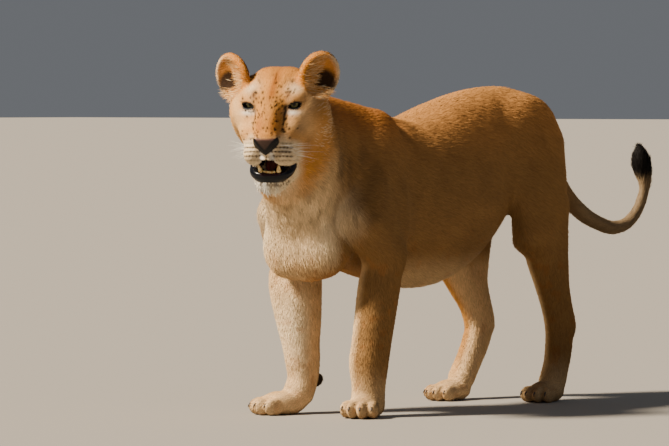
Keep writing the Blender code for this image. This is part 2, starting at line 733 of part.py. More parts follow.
def mouth_parts(jaw):
    """The tongue, set into the jaw, and the lower canines, which grow from it."""
    tongue = ((0.145, 0, -0.046), (0.050, 0.019, 0.010))
    combine(jaw, oval_mesh("bed", tongue[0], np.array(tongue[1]) + GAP, JAW, 14, 8), "DIFFERENCE")
    for name, s in SIDES:
        rings = [(0.078, s * 0.022, -0.184, 0.0060), (0.080, s * 0.0235, -0.168, 0.0068),
                 (0.084, s * 0.0255, -0.152, 0.0052), (0.087, s * 0.0275, -0.139, 0.0012)]
        rings = np.array(rings) + (0, MOUTH_SHIFT, 0, 0)
        combine(jaw, horn_mesh("canine", rings, HEAD), "UNION")
    return [finish(oval_mesh("tongue", *tongue, JAW, 14, 8), (0.45, 0.18, 0.16), 0.4)]


def torso_parts(body):
    rest = flesh("abdomen", body, (-0.76, -0.27, -0.04), (0.99, 0.27, 1.02), TRUNK_CELL, TRUNK_FACES)
    combine(rest, head_block(GAP / 2), "DIFFERENCE")
    for paw in PAWS:
        x, y = paw[1]
        side = (-0.3, -0.01) if y < 0 else (0.01, 0.3)
        away = block(WORLD, (x - 0.2, side[0], -0.1), (x + 0.13, side[1], ANKLE_LEVEL), GAP / 2)
        combine(rest, away, "DIFFERENCE")
    parts = []

    def off(name, lo, hi, frame=WORLD, colour=TAWNY):
        parts.append(finish(part_off(name, rest, frame, lo, hi), colour, FUR))

    off("tail_tuft", (0.85, -0.3, TUFT_LEVEL), (1.1, 0.2, 0.9), colour=DARK)
    off("tail_end", (TAIL_CUTS[2], -0.3, 0.4), (1.1, 0.2, TUFT_LEVEL))
    off("tail_middle", (TAIL_CUTS[1], -0.3, 0.4), (TAIL_CUTS[2], 0.2, 0.8))
    off("tail_root", (TAIL_CUTS[0], -0.3, 0.4), (TAIL_CUTS[1], 0.2, 0.8))
    off("neck", (0, -0.4, -0.4), (0.5, 0.4, 0.5), BODY.child((0.500, 0, 0.715), pitch=-26.6))
    for name, s in SIDES:
        def side(near, far=0.30):
            return sorted((-s * near, -s * far))

        inner, outer = side(0.05 if s > 0 else 0.03)
        ahead = 0.0 if s > 0 else 0.04
        off("forearm_" + name, (-0.47 - ahead, inner, 0), (-0.28, outer, ELBOW_LEVEL), colour=PALE)
        inner, outer = side(0.108)
        off("upper_arm_" + name, (-0.60, inner, 0.3), (-0.24 - ahead / 2, outer, 0.625))
        inner, outer = side(0.05)
        off("metatarsus_" + name, (0.14, inner, 0), (0.60, outer, HOCK_LEVEL), colour=PALE)
        off("shank_" + name, (0.20 - ahead / 2, inner, 0), (0.60, outer, STIFLE_LEVEL))
        inner, outer = side(0.075)
        off("thigh_" + name, (0.13, inner, 0.3), (0.60, outer, 0.66))
    off("thorax", (-1.0, -0.4, 0), (-0.14, 0.4, 1.2))
    off("rump", (0.20, -0.4, 0), (0.8, 0.4, 1.2))
    parts.append(finish(rest, TAWNY, FUR))
    return parts


def paw_parts(body):
    parts = []
    for name, (x, y), *rest in PAWS:
        lo = (x - 0.15, y - 0.10, -0.03)
        hi = (x + 0.12, y + 0.10, ANKLE_LEVEL + 0.04)
        paw = flesh(name, body, lo, hi, PAW_CELL, PAW_FACES)
        combine(paw, block(WORLD, (x - 0.3, y - 0.3, 0), (x + 0.3, y + 0.3, ANKLE_LEVEL - GAP / 2), 0),
                "INTERSECT")
        parts.append(finish(paw, PALE, FUR))
    return parts


def main():
    for thing in list(bpy.data.objects):
        bpy.data.objects.remove(thing)
    body = lioness_field()
    parts = head_parts(body) + torso_parts(body) + paw_parts(body)
    for part in parts:
        part.data.transform(Matrix.Translation(MIDDLE))
        part.data.shade_smooth()
        part.data.set_sharp_from_angle(angle=radians(40))


main()
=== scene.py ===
import bpy
import bmesh
import numpy as np
from math import cos, sin, pi, radians
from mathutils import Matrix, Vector


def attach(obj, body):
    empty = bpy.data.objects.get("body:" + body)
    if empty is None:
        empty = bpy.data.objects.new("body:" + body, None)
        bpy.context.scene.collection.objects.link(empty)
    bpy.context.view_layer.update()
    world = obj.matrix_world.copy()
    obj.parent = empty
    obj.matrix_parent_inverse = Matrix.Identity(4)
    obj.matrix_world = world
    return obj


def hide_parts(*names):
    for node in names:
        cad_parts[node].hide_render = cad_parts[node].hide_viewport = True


# A lioness, standing, head turned to her left, mouth open: one skin over the whole body, a coat
# of mesh tufts, eyes, teeth, tongue, claws and whiskers.
# Body coordinates: she faces -X, her left is -Y, the soles are at Z = 0.

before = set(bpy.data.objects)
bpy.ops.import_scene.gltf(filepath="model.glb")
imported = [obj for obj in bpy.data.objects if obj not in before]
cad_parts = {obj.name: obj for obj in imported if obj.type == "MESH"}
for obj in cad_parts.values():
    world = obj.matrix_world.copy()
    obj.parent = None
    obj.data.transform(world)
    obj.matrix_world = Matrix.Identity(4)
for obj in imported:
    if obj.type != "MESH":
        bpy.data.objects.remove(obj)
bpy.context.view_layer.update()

figure = {
    "middle": (-0.043, 0, 0),          # body coordinates are moved by this at the end
    "headCentre": (-0.779, -0.110, 0.859),
    "headTurn": 28,
    "headTilt": 28,
    "jawDrop": 20,
    "jawTurn": -2.5,                   # the lower jaw hangs a little to her right
    "tiltCos": 0.883,
    "tiltSin": 0.469,
    "jawAt": (-0.095, 0, -0.060),      # ahead, out and up from the head's centre
    "eyeAt": (-0.0205, 0.060, -0.005),
    "eyeRadius": 0.0185,
    "farAway": 0.25,                   # field value well outside every shape
    "seed": 11,
}
signs = (1, -1)                        # her left and her right, in the head's place
sides = (("left", 1), ("right", -1))
rng = np.random.default_rng(figure["seed"])


def unit(v):
    v = np.asarray(v, float)
    return v / np.maximum(np.linalg.norm(v, axis=-1, keepdims=True), 1e-12)


def ramp(x, a, b):
    # smooth step: 0 where x is at a, 1 where x is at b
    t = np.clip((x - a) / (b - a), 0, 1)
    return t * t * (3 - 2 * t)


def bump(x, middle, half):
    # bell of one variable: exp(-((x - middle) / half)^2)
    return np.exp(-((x - middle) / half) ** 2)


def blob(points, centre, radii):
    # bell in space: exp of minus the squared, scaled distance to the centre
    return np.exp(-(((points - centre) / radii) ** 2).sum(-1))


def smoothMin(a, b, k):
    # the smaller of a and b, rounded over a width k
    h = np.clip(0.5 + 0.5 * (b - a) / k, 0, 1)
    return b + (a - b) * h - k * h * (1 - h)


def linear(hexColour):
    # sRGB hex to linear: ((c + 0.055) / 1.055)^2.4, or c / 12.92 in the darks
    c = np.array([int(hexColour[i:i + 2], 16) for i in (1, 3, 5)]) / 255
    return np.where(c > 0.04045, ((c + 0.055) / 1.055) ** 2.4, c / 12.92)


def noise(points, scale, seed):
    # smooth value noise in -1..1: a lattice of random numbers, blended with smooth steps
    q = points / scale + 100
    cell = np.floor(q).astype(int)
    t = q - cell
    t = t * t * (3 - 2 * t)
    total = 0
    for corner in np.ndindex(2, 2, 2):
        i, j, k = (cell + corner).T
        value = np.sin(i * 127.1 + j * 311.7 + k * 74.7 + seed * 53.3) * 43758.5453
        value = 2 * (value - np.floor(value)) - 1
        weight = np.prod(np.where(np.array(corner) == 1, t, 1 - t), axis=1)
        total = total + weight * value
    return total


def turnedAxes(yaw, pitch, roll):
    # rows forward, left and up; yaw turns to the left, pitch tips the nose down
    cy, sy = cos(radians(yaw)), sin(radians(yaw))
    cp, sp = cos(radians(pitch)), sin(radians(pitch))
    cr, sr = cos(radians(roll)), sin(radians(roll))
    forward = np.array([cy * cp, sy * cp, -sp])
    left = np.array([-sy, cy, 0.0])
    up = np.cross(forward, left)
    return np.array([forward, cr * left + sr * up, cr * up - sr * left])


class Place:
    # a spot on the body with its own forward, left and up
    def __init__(self, origin=(0, 0, 0), axes=np.eye(3)):
        self.origin = np.asarray(origin, float)
        self.axes = np.asarray(axes, float)

    def out(self, p):
        return self.origin + np.asarray(p, float) @ self.axes

    def into(self, p):
        return (p - self.origin) @ self.axes.T

    def child(self, origin, yaw=0, pitch=0, roll=0):
        return Place(self.out(origin), turnedAxes(yaw, pitch, roll) @ self.axes)


world = Place()
bodyPlace = Place((0, 0, 0), [(-1, 0, 0), (0, -1, 0), (0, 0, 1)])
head = Place(figure["headCentre"],
             turnedAxes(figure["headTurn"], figure["headTilt"], 0) @ bodyPlace.axes)
jaw = head.child(figure["jawAt"], yaw=figure["jawTurn"], pitch=figure["jawDrop"])

napeSpot = np.array((-0.575, -0.03, 0.75))
napeNormal = unit((-0.88, -0.14, 0.46))


def pastNape(points):
    # distance ahead of the plane across the nape
    return (points - napeSpot) @ napeNormal


def headness(points):
    # 0 behind the nape, 1 ahead of it
    return ramp(pastNape(points), -0.03, 0.05)


def seenHeight(f, h):
    # height on the head as seen from in front: up times cos(tilt), less ahead times sin(tilt)
    return figure["tiltCos"] * h - figure["tiltSin"] * f


class Egg:
    # an ellipsoid; its distance is k0 (k0 - 1) / k1, with k0 = |q / r| and k1 = |q / r^2|
    def __init__(self, centre, radii, place=world):
        self.centre = place.out(centre)
        self.radii = np.asarray(radii, float)
        self.axes = place.axes
        half = np.sqrt(((self.axes * self.radii[:, None]) ** 2).sum(0))
        self.lo, self.hi = self.centre - half, self.centre + half

    def distance(self, points):
        q = (points - self.centre) @ self.axes.T
        k0 = np.sqrt(((q / self.radii) ** 2).sum(1))
        k1 = np.sqrt(((q / self.radii ** 2) ** 2).sum(1))
        return k0 * (k0 - 1) / np.maximum(k1, 1e-9)


def smoothRings(rings, steps=4):
    # Catmull-Rom curve through the rings, all their values at once
    r = np.asarray(rings, float)
    r = np.vstack([2 * r[0] - r[1], r, 2 * r[-1] - r[-2]])
    t = (np.arange(steps) / steps)[None, :, None]
    p0, p1, p2, p3 = (r[i:len(r) - 3 + i, None] for i in range(4))
    spans = 0.5 * (2 * p1 + (p2 - p0) * t + (2 * p0 - 5 * p1 + 4 * p2 - p3) * t ** 2
                   + (3 * p1 - p0 - 3 * p2 + p3) * t ** 3)
    return np.vstack([spans.reshape(-1, r.shape[1]), r[-2]])


class Limb:
    # an oval carried along a smooth path: rings of x, y, z, half width to the side, and the reach
    # to its upper and lower side; between rings every value is blended
    def __init__(self, rings, side=(0, 1, 0), caps=(1.0, 1.0), place=world, power=2.0):
        rings = smoothRings(rings)
        self.centres = place.origin + rings[:, :3] @ place.axes
        self.reach = rings[:, 3:6]
        along = unit(np.gradient(self.centres, axis=0))
        side = np.asarray(side, float) @ place.axes
        self.across = unit(side - (along @ side)[:, None] * along)
        self.upper = np.cross(along, self.across)
        self.caps, self.power = caps, power
        margin = self.reach.max()
        self.lo = self.centres.min(0) - margin
        self.hi = self.centres.max(0) + margin

    def distance(self, points):
        best = np.full(len(points), 9.0)
        last = len(self.centres) - 2
        for j in range(last + 1):
            step = self.centres[j + 1] - self.centres[j]
            t = np.clip(((points - self.centres[j]) @ step) / (step @ step), 0, 1)
            q = points - self.centres[j] - t[:, None] * step
            u = (q @ self.across[j]) * (1 - t) + (q @ self.across[j + 1]) * t
            v = (q @ self.upper[j]) * (1 - t) + (q @ self.upper[j + 1]) * t
            w = q @ unit(step)
            r = self.reach[j] * (1 - t)[:, None] + self.reach[j + 1] * t[:, None]
            small = r.min(1)
            rw = small.copy()
            if j == 0:
                rw = np.where(t <= 0, small * self.caps[0], rw)
            if j == last:
                rw = np.where(t >= 1, small * self.caps[1], rw)
            rv = np.where(v > 0, r[:, 1], r[:, 2])
            n = self.power
            k0 = (np.abs(u / r[:, 0]) ** n + np.abs(v / rv) ** n + np.abs(w / rw) ** n) ** (1 / n)
            length = np.sqrt(u * u + v * v + w * w)
            d = np.where(k0 > 1e-6, length * (1 - 1 / np.maximum(k0, 1e-6)), -small)
            best = np.minimum(best, d)
        return best


class Field:
    # shapes blended in order; cuts take shapes away; a last function may lower the whole surface
    def __init__(self):
        self.steps = []
        self.under = lambda points: 0.0

    def add(self, shape, blend):
        self.steps.append((1, shape, blend))

    def cut(self, shape, blend):
        self.steps.append((-1, shape, blend))

    def egg(self, centre, radii, blend=0.015, place=world):
        self.add(Egg(centre, radii, place), blend)

    def limb(self, rings, blend=0.02, **options):
        self.add(Limb(rings, **options), blend)

    def at(self, points):
        f = np.full(len(points), figure["farAway"])
        for sign, shape, blend in self.steps:
            reach = blend + 0.03
            near = np.all((points > shape.lo - reach) & (points < shape.hi + reach), axis=1)
            i = np.nonzero(near)[0]
            if len(i):
                f[i] = sign * smoothMin(sign * f[i], shape.distance(points[i]), blend)
        return f + self.under(points)

    def slope(self, points, step=0.0012):
        # central differences along X, Y and Z
        g = np.empty_like(points)
        for a in range(3):
            d = np.zeros(3)
            d[a] = step
            g[:, a] = (self.at(points + d) - self.at(points - d)) / (2 * step)
        return g

    def settle(self, points, limit):
        # each point moves along the slope by field / |slope|, onto the zero level
        g = self.slope(points)
        size = np.maximum(np.linalg.norm(g, axis=1), 0.35)
        move = np.clip(self.at(points) / size, -limit, limit)
        return points - (move / size)[:, None] * g


def trunkAndNeck(body):
    body.limb([
        (-0.500, 0, 0.550, 0.118, 0.130, 0.135),
        (-0.430, 0, 0.580, 0.141, 0.205, 0.172),
        (-0.340, 0, 0.600, 0.155, 0.243, 0.203),
        (-0.240, 0, 0.600, 0.165, 0.236, 0.228),
        (-0.140, 0, 0.590, 0.174, 0.232, 0.244),
        (-0.040, 0, 0.585, 0.178, 0.252, 0.243),
        (0.060, 0, 0.605, 0.172, 0.263, 0.212),
        (0.160, 0, 0.645, 0.153, 0.253, 0.168),
        (0.260, 0, 0.680, 0.141, 0.236, 0.135),
        (0.340, 0, 0.700, 0.142, 0.216, 0.130),
        (0.410, 0, 0.700, 0.125, 0.185, 0.130)], caps=(0.45, 0.80), power=2.15)
    body.limb([
        (-0.330, 0.000, 0.650, 0.150, 0.200, 0.215),
        (-0.430, -0.005, 0.680, 0.145, 0.200, 0.205),
        (-0.520, -0.018, 0.715, 0.132, 0.182, 0.190),
        (-0.595, -0.035, 0.765, 0.118, 0.150, 0.165),
        (-0.655, -0.050, 0.820, 0.104, 0.112, 0.140)], 0.05, side=(0, -1, 0))
    body.egg((-0.515, 0.062, 0.475), (0.070, 0.078, 0.095), 0.04)
    body.egg((-0.500, -0.060, 0.480), (0.070, 0.075, 0.095), 0.04)
    body.egg((-0.500, 0.000, 0.460), (0.065, 0.070, 0.085), 0.04)


def shoulders(body):
    # the right shoulder stands a little ahead, as that leg steps forward
    for s, ahead in ((-1, 0.0), (1, -0.03)):
        body.limb([
            (-0.290 + ahead, s * 0.070, 0.795, 0.045, 0.060, 0.060),
            (-0.370 + ahead, s * 0.122, 0.670, 0.058, 0.085, 0.075),
            (-0.450 + 0.4 * ahead, s * 0.138, 0.555, 0.062, 0.085, 0.072)], 0.03)
        body.limb([
            (-0.450 + 0.4 * ahead, s * 0.140, 0.555, 0.060, 0.080, 0.068),
            (-0.405 + ahead, s * 0.150, 0.495, 0.060, 0.080, 0.068),
            (-0.350 + ahead, s * 0.146, 0.440, 0.058, 0.062, 0.065)], 0.02)
        body.egg((-0.325 + ahead, s * 0.148, 0.545), (0.085, 0.048, 0.105), 0.03)


carpalPads = [(-0.369, 0.086, 0.094), (-0.344, -0.112, 0.118)]    # behind the wrists


def forelegs(body):
    body.limb([
        (-0.345, -0.146, 0.450, 0.055, 0.052, 0.064),
        (-0.362, -0.138, 0.360, 0.058, 0.058, 0.064),
        (-0.374, -0.132, 0.270, 0.057, 0.055, 0.061),
        (-0.384, -0.127, 0.200, 0.056, 0.054, 0.056),
        (-0.392, -0.125, 0.150, 0.056, 0.054, 0.056),
        (-0.396, -0.128, 0.100, 0.050, 0.047, 0.050),
        (-0.400, -0.130, 0.060, 0.048, 0.042, 0.046)])
    body.limb([
        (-0.378, 0.148, 0.450, 0.070, 0.066, 0.074),
        (-0.410, 0.130, 0.360, 0.076, 0.072, 0.076),
        (-0.418, 0.112, 0.270, 0.066, 0.064, 0.066),
        (-0.418, 0.104, 0.200, 0.055, 0.054, 0.054),
        (-0.415, 0.100, 0.150, 0.050, 0.050, 0.050),
        (-0.416, 0.098, 0.100, 0.045, 0.044, 0.044),
        (-0.430, 0.100, 0.058, 0.046, 0.038, 0.044)])
    for pad in carpalPads:
        body.egg(pad, (0.017, 0.017, 0.021), 0.008)


def hindLegs(body):
    # the right hind leg stands further forward below the hip
    for s, ahead in ((-1, 0.0), (1, -0.05)):
        body.egg((0.345 + 0.2 * ahead, s * 0.075, 0.775), (0.137, 0.078, 0.117), 0.03)
        body.limb([
            (0.385 + 0.3 * ahead, s * 0.095, 0.750, 0.068, 0.100, 0.110),
            (0.355 + 0.3 * ahead, s * 0.122, 0.640, 0.068, 0.112, 0.125),
            (0.325 + 0.7 * ahead, s * 0.138, 0.540, 0.062, 0.100 - 0.5 * ahead, 0.092),
            (0.292 + ahead, s * 0.142, 0.475, 0.052, 0.075, 0.050)], 0.03)
    body.limb([
        (0.322, -0.140, 0.500, 0.052, 0.075, 0.064),
        (0.362, -0.138, 0.430, 0.050, 0.070, 0.062),
        (0.400, -0.133, 0.350, 0.043, 0.052, 0.054),
        (0.430, -0.129, 0.280, 0.038, 0.046, 0.049),
        (0.450, -0.127, 0.215, 0.038, 0.050, 0.048),
        (0.452, -0.124, 0.160, 0.038, 0.046, 0.044),
        (0.446, -0.121, 0.110, 0.038, 0.042, 0.040),
        (0.430, -0.120, 0.062, 0.042, 0.037, 0.038)])
    body.limb([
        (0.405, -0.135, 0.560, 0.050, 0.055, 0.070),
        (0.422, -0.136, 0.450, 0.042, 0.036, 0.050),
        (0.450, -0.131, 0.320, 0.025, 0.024, 0.030),
        (0.482, -0.128, 0.218, 0.024, 0.024, 0.025)], 0.03)
    body.limb([
        (0.240, 0.142, 0.490, 0.055, 0.100, 0.072),
        (0.290, 0.142, 0.415, 0.052, 0.084, 0.066),
        (0.332, 0.138, 0.345, 0.045, 0.064, 0.056),
        (0.372, 0.132, 0.280, 0.038, 0.052, 0.050),
        (0.392, 0.128, 0.215, 0.038, 0.050, 0.048),
        (0.374, 0.124, 0.165, 0.038, 0.045, 0.045),
        (0.342, 0.121, 0.115, 0.038, 0.040, 0.042),
        (0.306, 0.120, 0.065, 0.042, 0.036, 0.038)])
    body.limb([
        (0.390, 0.137, 0.560, 0.050, 0.075, 0.070),
        (0.388, 0.139, 0.450, 0.042, 0.062, 0.050),
        (0.398, 0.134, 0.330, 0.028, 0.030, 0.030),
        (0.424, 0.130, 0.218, 0.024, 0.024, 0.025)], 0.03)


# the tail's own path, also the lie of its hair: x, y, z, radius
tailPath = [
    (0.420, 0.000, 0.790, 0.050), (0.495, 0.000, 0.758, 0.040), (0.560, 0.000, 0.678, 0.031),
    (0.630, -0.008, 0.592, 0.026), (0.695, -0.020, 0.538, 0.024), (0.756, -0.032, 0.508, 0.022),
    (0.810, -0.043, 0.493, 0.021), (0.860, -0.056, 0.503, 0.019), (0.900, -0.066, 0.538, 0.017),
    (0.920, -0.075, 0.586, 0.016), (0.923, -0.080, 0.625, 0.016)]
tuftPath = [
    (0.923, -0.080, 0.615, 0.015), (0.917, -0.080, 0.650, 0.023), (0.906, -0.080, 0.685, 0.027),
    (0.900, -0.080, 0.712, 0.018), (0.899, -0.080, 0.730, 0.006)]


def tail(body):
    for path, blend, caps in ((tailPath, 0.03, (1, 0.6)), (tuftPath, 0.008, (1, 1))):
        p = np.array(path)
        body.limb(np.column_stack([p, p[:, 3], p[:, 3]]), blend, caps=caps)


pawPlaces = {
    # middle on the floor, turned to her left by, scale
    "foreLeft": ((-0.415, -0.135), 20, 1.0),
    "foreRight": ((-0.480, 0.117), -22, 1.0),
    "hindLeft": ((0.395, -0.124), 6, 0.94),
    "hindRight": ((0.262, 0.122), -6, 0.94),
}
paw = {
    "middle": (0.068, 0.048, 0.036), "middleUp": 0.030,
    "toe": (0.034, 0.0165, 0.026), "toeUp": 0.024,
    "toes": ((-0.037, 0.044), (-0.0135, 0.062), (0.0135, 0.062), (0.037, 0.044)),    # side, ahead
    "fan": 300,                # degrees that a toe turns outwards for each metre to the side
}


def toePlaces():
    # each paw's place on the floor, the places of its toes, and its scale
    for spot, turn, scale in pawPlaces.values():
        flat = Place((*spot, 0), turnedAxes(turn, 0, 0) @ bodyPlace.axes)
        yield flat, scale, [flat.child((ahead * scale, s * scale, paw["toeUp"] * scale),
                                       yaw=s * paw["fan"]) for s, ahead in paw["toes"]]


def paws(body):
    for flat, scale, toes in toePlaces():
        size = np.array(paw["middle"]) * scale
        body.egg((0, 0, paw["middleUp"] * scale), size, 0.015, flat)
        for toe in toes:
            body.egg((0, 0, 0), np.array(paw["toe"]) * scale, 0.006, toe)


def skull(body):
    body.egg((-0.105, 0, -0.030), (0.100, 0.090, 0.078), 0.03, head)
    body.egg((-0.045, 0, -0.020), (0.070, 0.074, 0.052), 0.02, head)
    # broad nose bridge
    body.limb([
        (-0.040, 0, -0.018, 0.048, 0.034, 0.050),
        (0.000, 0, -0.032, 0.041, 0.038, 0.050),
        (0.040, 0, -0.052, 0.038, 0.036, 0.045),
        (0.068, 0, -0.068, 0.036, 0.034, 0.034),
        (0.080, 0, -0.075, 0.035, 0.032, 0.030)],
        0.015, side=(0, -1, 0), place=head, power=2.4, caps=(1.0, 0.55))
    body.egg((0.010, 0, -0.070), (0.085, 0.060, 0.050), 0.02, head)
    for s in signs:
        body.egg((-0.112, s * 0.034, -0.022), (0.075, 0.056, 0.066), 0.02, head)
        # cheek, ruff, brow and cheekbone
        body.egg((-0.058, s * 0.076, -0.048), (0.070, 0.052, 0.064), 0.025, head)
        body.egg((-0.095, s * 0.090, -0.085), (0.060, 0.048, 0.080), 0.03, head)
        body.egg((-0.032, s * 0.052, 0.008), (0.034, 0.034, 0.018), 0.02, head)
        body.egg((-0.020, s * 0.068, -0.036), (0.040, 0.034, 0.026), 0.02, head)


def muzzle(body):
    for s in signs:
        pad = head.child((0.058, s * 0.035, -0.108), yaw=s * 14)
        body.egg((0, 0, 0), (0.054, 0.036, 0.036), 0.010, pad)
        body.egg((0.028, s * 0.040, -0.086), (0.056, 0.034, 0.040), 0.015, head)
        body.egg((0.026, s * 0.046, -0.120), (0.052, 0.025, 0.040), 0.015, head)
        body.egg((-0.020, s * 0.060, -0.115), (0.055, 0.030, 0.050), 0.02, head)
        body.egg((0.004, s * 0.055, -0.066), (0.055, 0.036, 0.034), 0.025, head)
    # middle of the upper lip
    body.egg((0.082, 0, -0.108), (0.032, 0.024, 0.014), 0.010, head)
    # nose pad: a wedge, broad above and pointed below
    body.limb([
        (0.088, 0, -0.052, 0.034, 0.017, 0.020),
        (0.092, 0, -0.062, 0.036, 0.019, 0.020),
        (0.095, 0, -0.076, 0.024, 0.019, 0.020),
        (0.096, 0, -0.092, 0.008, 0.016, 0.018)],
        0.005, side=(0, 1, 0), place=head, power=2.4, caps=(0.6, 0.8))


def jawAndThroat(body):
    for s in signs:
        body.limb([
            (-0.010, s * 0.070, -0.030, 0.032, 0.040, 0.050),
            (0.060, s * 0.060, -0.060, 0.030, 0.035, 0.045),
            (0.130, s * 0.044, -0.070, 0.024, 0.030, 0.036),
            (0.188, s * 0.026, -0.070, 0.020, 0.026, 0.034)], 0.015, side=(0, -1, 0), place=jaw)
    body.egg((0.200, 0, -0.075), (0.036, 0.046, 0.032), 0.015, jaw)
    body.egg((0.100, 0, -0.096), (0.105, 0.064, 0.034), 0.02, jaw)
    body.limb([
        (0.120, 0, -0.100, 0.060, 0.040, 0.036),
        (0.040, 0, -0.120, 0.084, 0.060, 0.056),
        (-0.060, 0, -0.140, 0.096, 0.070, 0.070)], 0.03, side=(0, -1, 0), place=jaw)


mouthShift = -0.003         # the opening sits a little to her right


def lowerLip():
    # one swag from corner to corner: ahead falls off with |a|^2.6, height rises with a^4
    a = np.linspace(-1, 1, 9)
    rings = np.column_stack([
        0.088 - 0.052 * np.abs(a) ** 2.6, 0.052 * np.sin(a * pi / 2) - 0.004, -0.1725 + 0.006 * a ** 4,
        np.full(9, 0.0115), np.full(9, 0.0125), np.full(9, 0.0145)])
    return Limb(rings, side=(1, 0, 0), place=head)


mouthPlace = head.child((0.048, 0, -0.136), pitch=14)
mouthRoom = Egg((0, 0, 0.002), (0.104, 0.034, 0.021), mouthPlace)
lipNotch = Egg((0.106, -0.001, -0.123), (0.028, 0.017, 0.014), head)     # where the upper lip parts
lipLimb = lowerLip()
# out and up from the head's centre
earPlaces = {"left": (0.114, 0.034), "right": (0.124, 0.029)}
earShell = {"outer": (0.023, 0.055, 0.066), "hollowAt": (0.031, 0, 0.002), "hollow": (0.036, 0.051, 0.060)}
earCups = {}


def cupRadius(q):
    # distance from the cup's axis, 1 at its edge
    return np.linalg.norm(q[:, 1:] / (0.050, 0.060), axis=1)


def ears(body):
    for name, s in sides:
        out, up = earPlaces[name]
        ear = head.child((-0.105, s * out, up), pitch=-18, yaw=s * 30)
        cup = ear.child((0, 0, 0), roll=-s * 34)
        earCups[name] = cup
        body.egg((0, 0, 0), earShell["outer"], 0.015, cup)
        body.egg((-0.110, s * (out + 0.006), up - 0.036), (0.024, 0.022, 0.038), 0.012, head)
        body.cut(Egg(earShell["hollowAt"], earShell["hollow"], cup), 0.006)


def eyeCentre(s):
    ahead, out, up = figure["eyeAt"]
    return ahead, s * out, up


# eyelids, nostrils, gums and grooves are what the skin has beyond the solids
lids = {
    # outline of the opening in the lids' own place: out from the nose, up
    "upper": [(-0.0160, -0.0034), (-0.0125, 0.0020), (-0.0070, 0.0050), (0.0005, 0.0056),
              (0.0085, 0.0040), (0.0152, 0.0004)],
    "lower": [(-0.0160, -0.0034), (-0.0105, -0.0066), (-0.0035, -0.0088), (0.0045, -0.0086),
              (0.0110, -0.0054), (0.0152, 0.0004)],
    "rim": 0.0027,            # radius of the lid's edge
    "thick": (1.3, 1.0),      # upper and lower edge, times the rim
    "lookUp": 13,             # the opening faces this much higher than the nose
    "socket": (0.0215, 0.0225, 0.0205), "socketTurn": 18,
}


def lidCurves(s):
    # the outline laid on the eyeball: ahead = sqrt(r^2 - 0.62 side^2 - up^2), a little flatter
    # to the sides than the ball, so the corners stay in front of it
    curves = []
    for edge in ("upper", "lower"):
        side, up = smoothRings(lids[edge], 3).T
        radius = figure["eyeRadius"] + 0.0008
        ahead = np.sqrt(np.maximum(radius ** 2 - 0.62 * side ** 2 - up ** 2, 1e-6))
        curves.append(np.column_stack([ahead, s * side, up]))
    return head.child(eyeCentre(s), yaw=s * 14 + 4, pitch=-lids["lookUp"]), curves


def eyelids(body):
    for s in signs:
        place, curves = lidCurves(s)
        socket = head.child(eyeCentre(s), yaw=s * lids["socketTurn"])
        body.egg((0, 0, 0), lids["socket"], 0.008, socket)
        for points, thick in zip(curves, lids["thick"]):
            rings = np.column_stack([points, np.full((len(points), 3), lids["rim"] * thick)])
            body.limb(rings[::2], 0.003, side=(1, 0, 0), place=place)
        # the opening: an oval as high as the outline, carried from corner to corner
        side = np.linspace(-0.0154, 0.0146, 9)
        upper = np.interp(side, *np.array(lids["upper"]).T)
        lower = np.interp(side, *np.array(lids["lower"]).T)
        half = np.maximum(upper - lower, 0.0015) / 2
        opening = np.column_stack([np.full(9, 0.026), s * side, (upper + lower) / 2,
                                   np.full(9, 0.022), half, half])
        body.cut(Limb(opening, side=(1, 0, 0), place=place, caps=(0.3, 0.3)), 0.001)
        body.cut(Egg((0, 0, 0), (figure["eyeRadius"] + 0.0004,) * 3, socket), 0.0005)


def nostrils(body):
    # wide slits from the pad's upper corners down along its lower edges towards the tip
    for s in signs:
        body.cut(Limb([
            (0.099, s * 0.038, -0.059, 0.0026, 0.0026, 0.0026),
            (0.108, s * 0.030, -0.068, 0.0050, 0.0050, 0.0050),
            (0.113, s * 0.020, -0.077, 0.0052, 0.0052, 0.0052),
            (0.114, s * 0.010, -0.086, 0.0030, 0.0030, 0.0030)],
            side=(0, 1, 0), place=head), 0.003)
    # groove from the nose down to the lip
    body.cut(Limb([
        (0.115, 0, -0.096, 0.0016, 0.0030, 0.0030),
        (0.112, 0, -0.106, 0.0016, 0.0040, 0.0040),
        (0.106, 0, -0.118, 0.0016, 0.0040, 0.0040)], side=(0, 1, 0), place=head), 0.002)


def gums(body):
    # a low ridge inside the lower lip that carries the front teeth
    a = np.linspace(-1, 1, 7)
    rings = np.column_stack([0.086 - 0.016 * a * a, 0.028 * a - 0.003, -0.175 + 0.002 * a * a,
                             np.full(7, 0.006), np.full(7, 0.008), np.full(7, 0.012)])
    body.limb(rings, 0.004, side=(1, 0, 0), place=head)


coatThickness = {"trunk": 0.006, "chest": 0.003, "legs": 0.0035, "feet": 0.0015,
                 "tail": 0.0030, "face": 0.0020, "ears": 0.0010, "bare": 0.0}


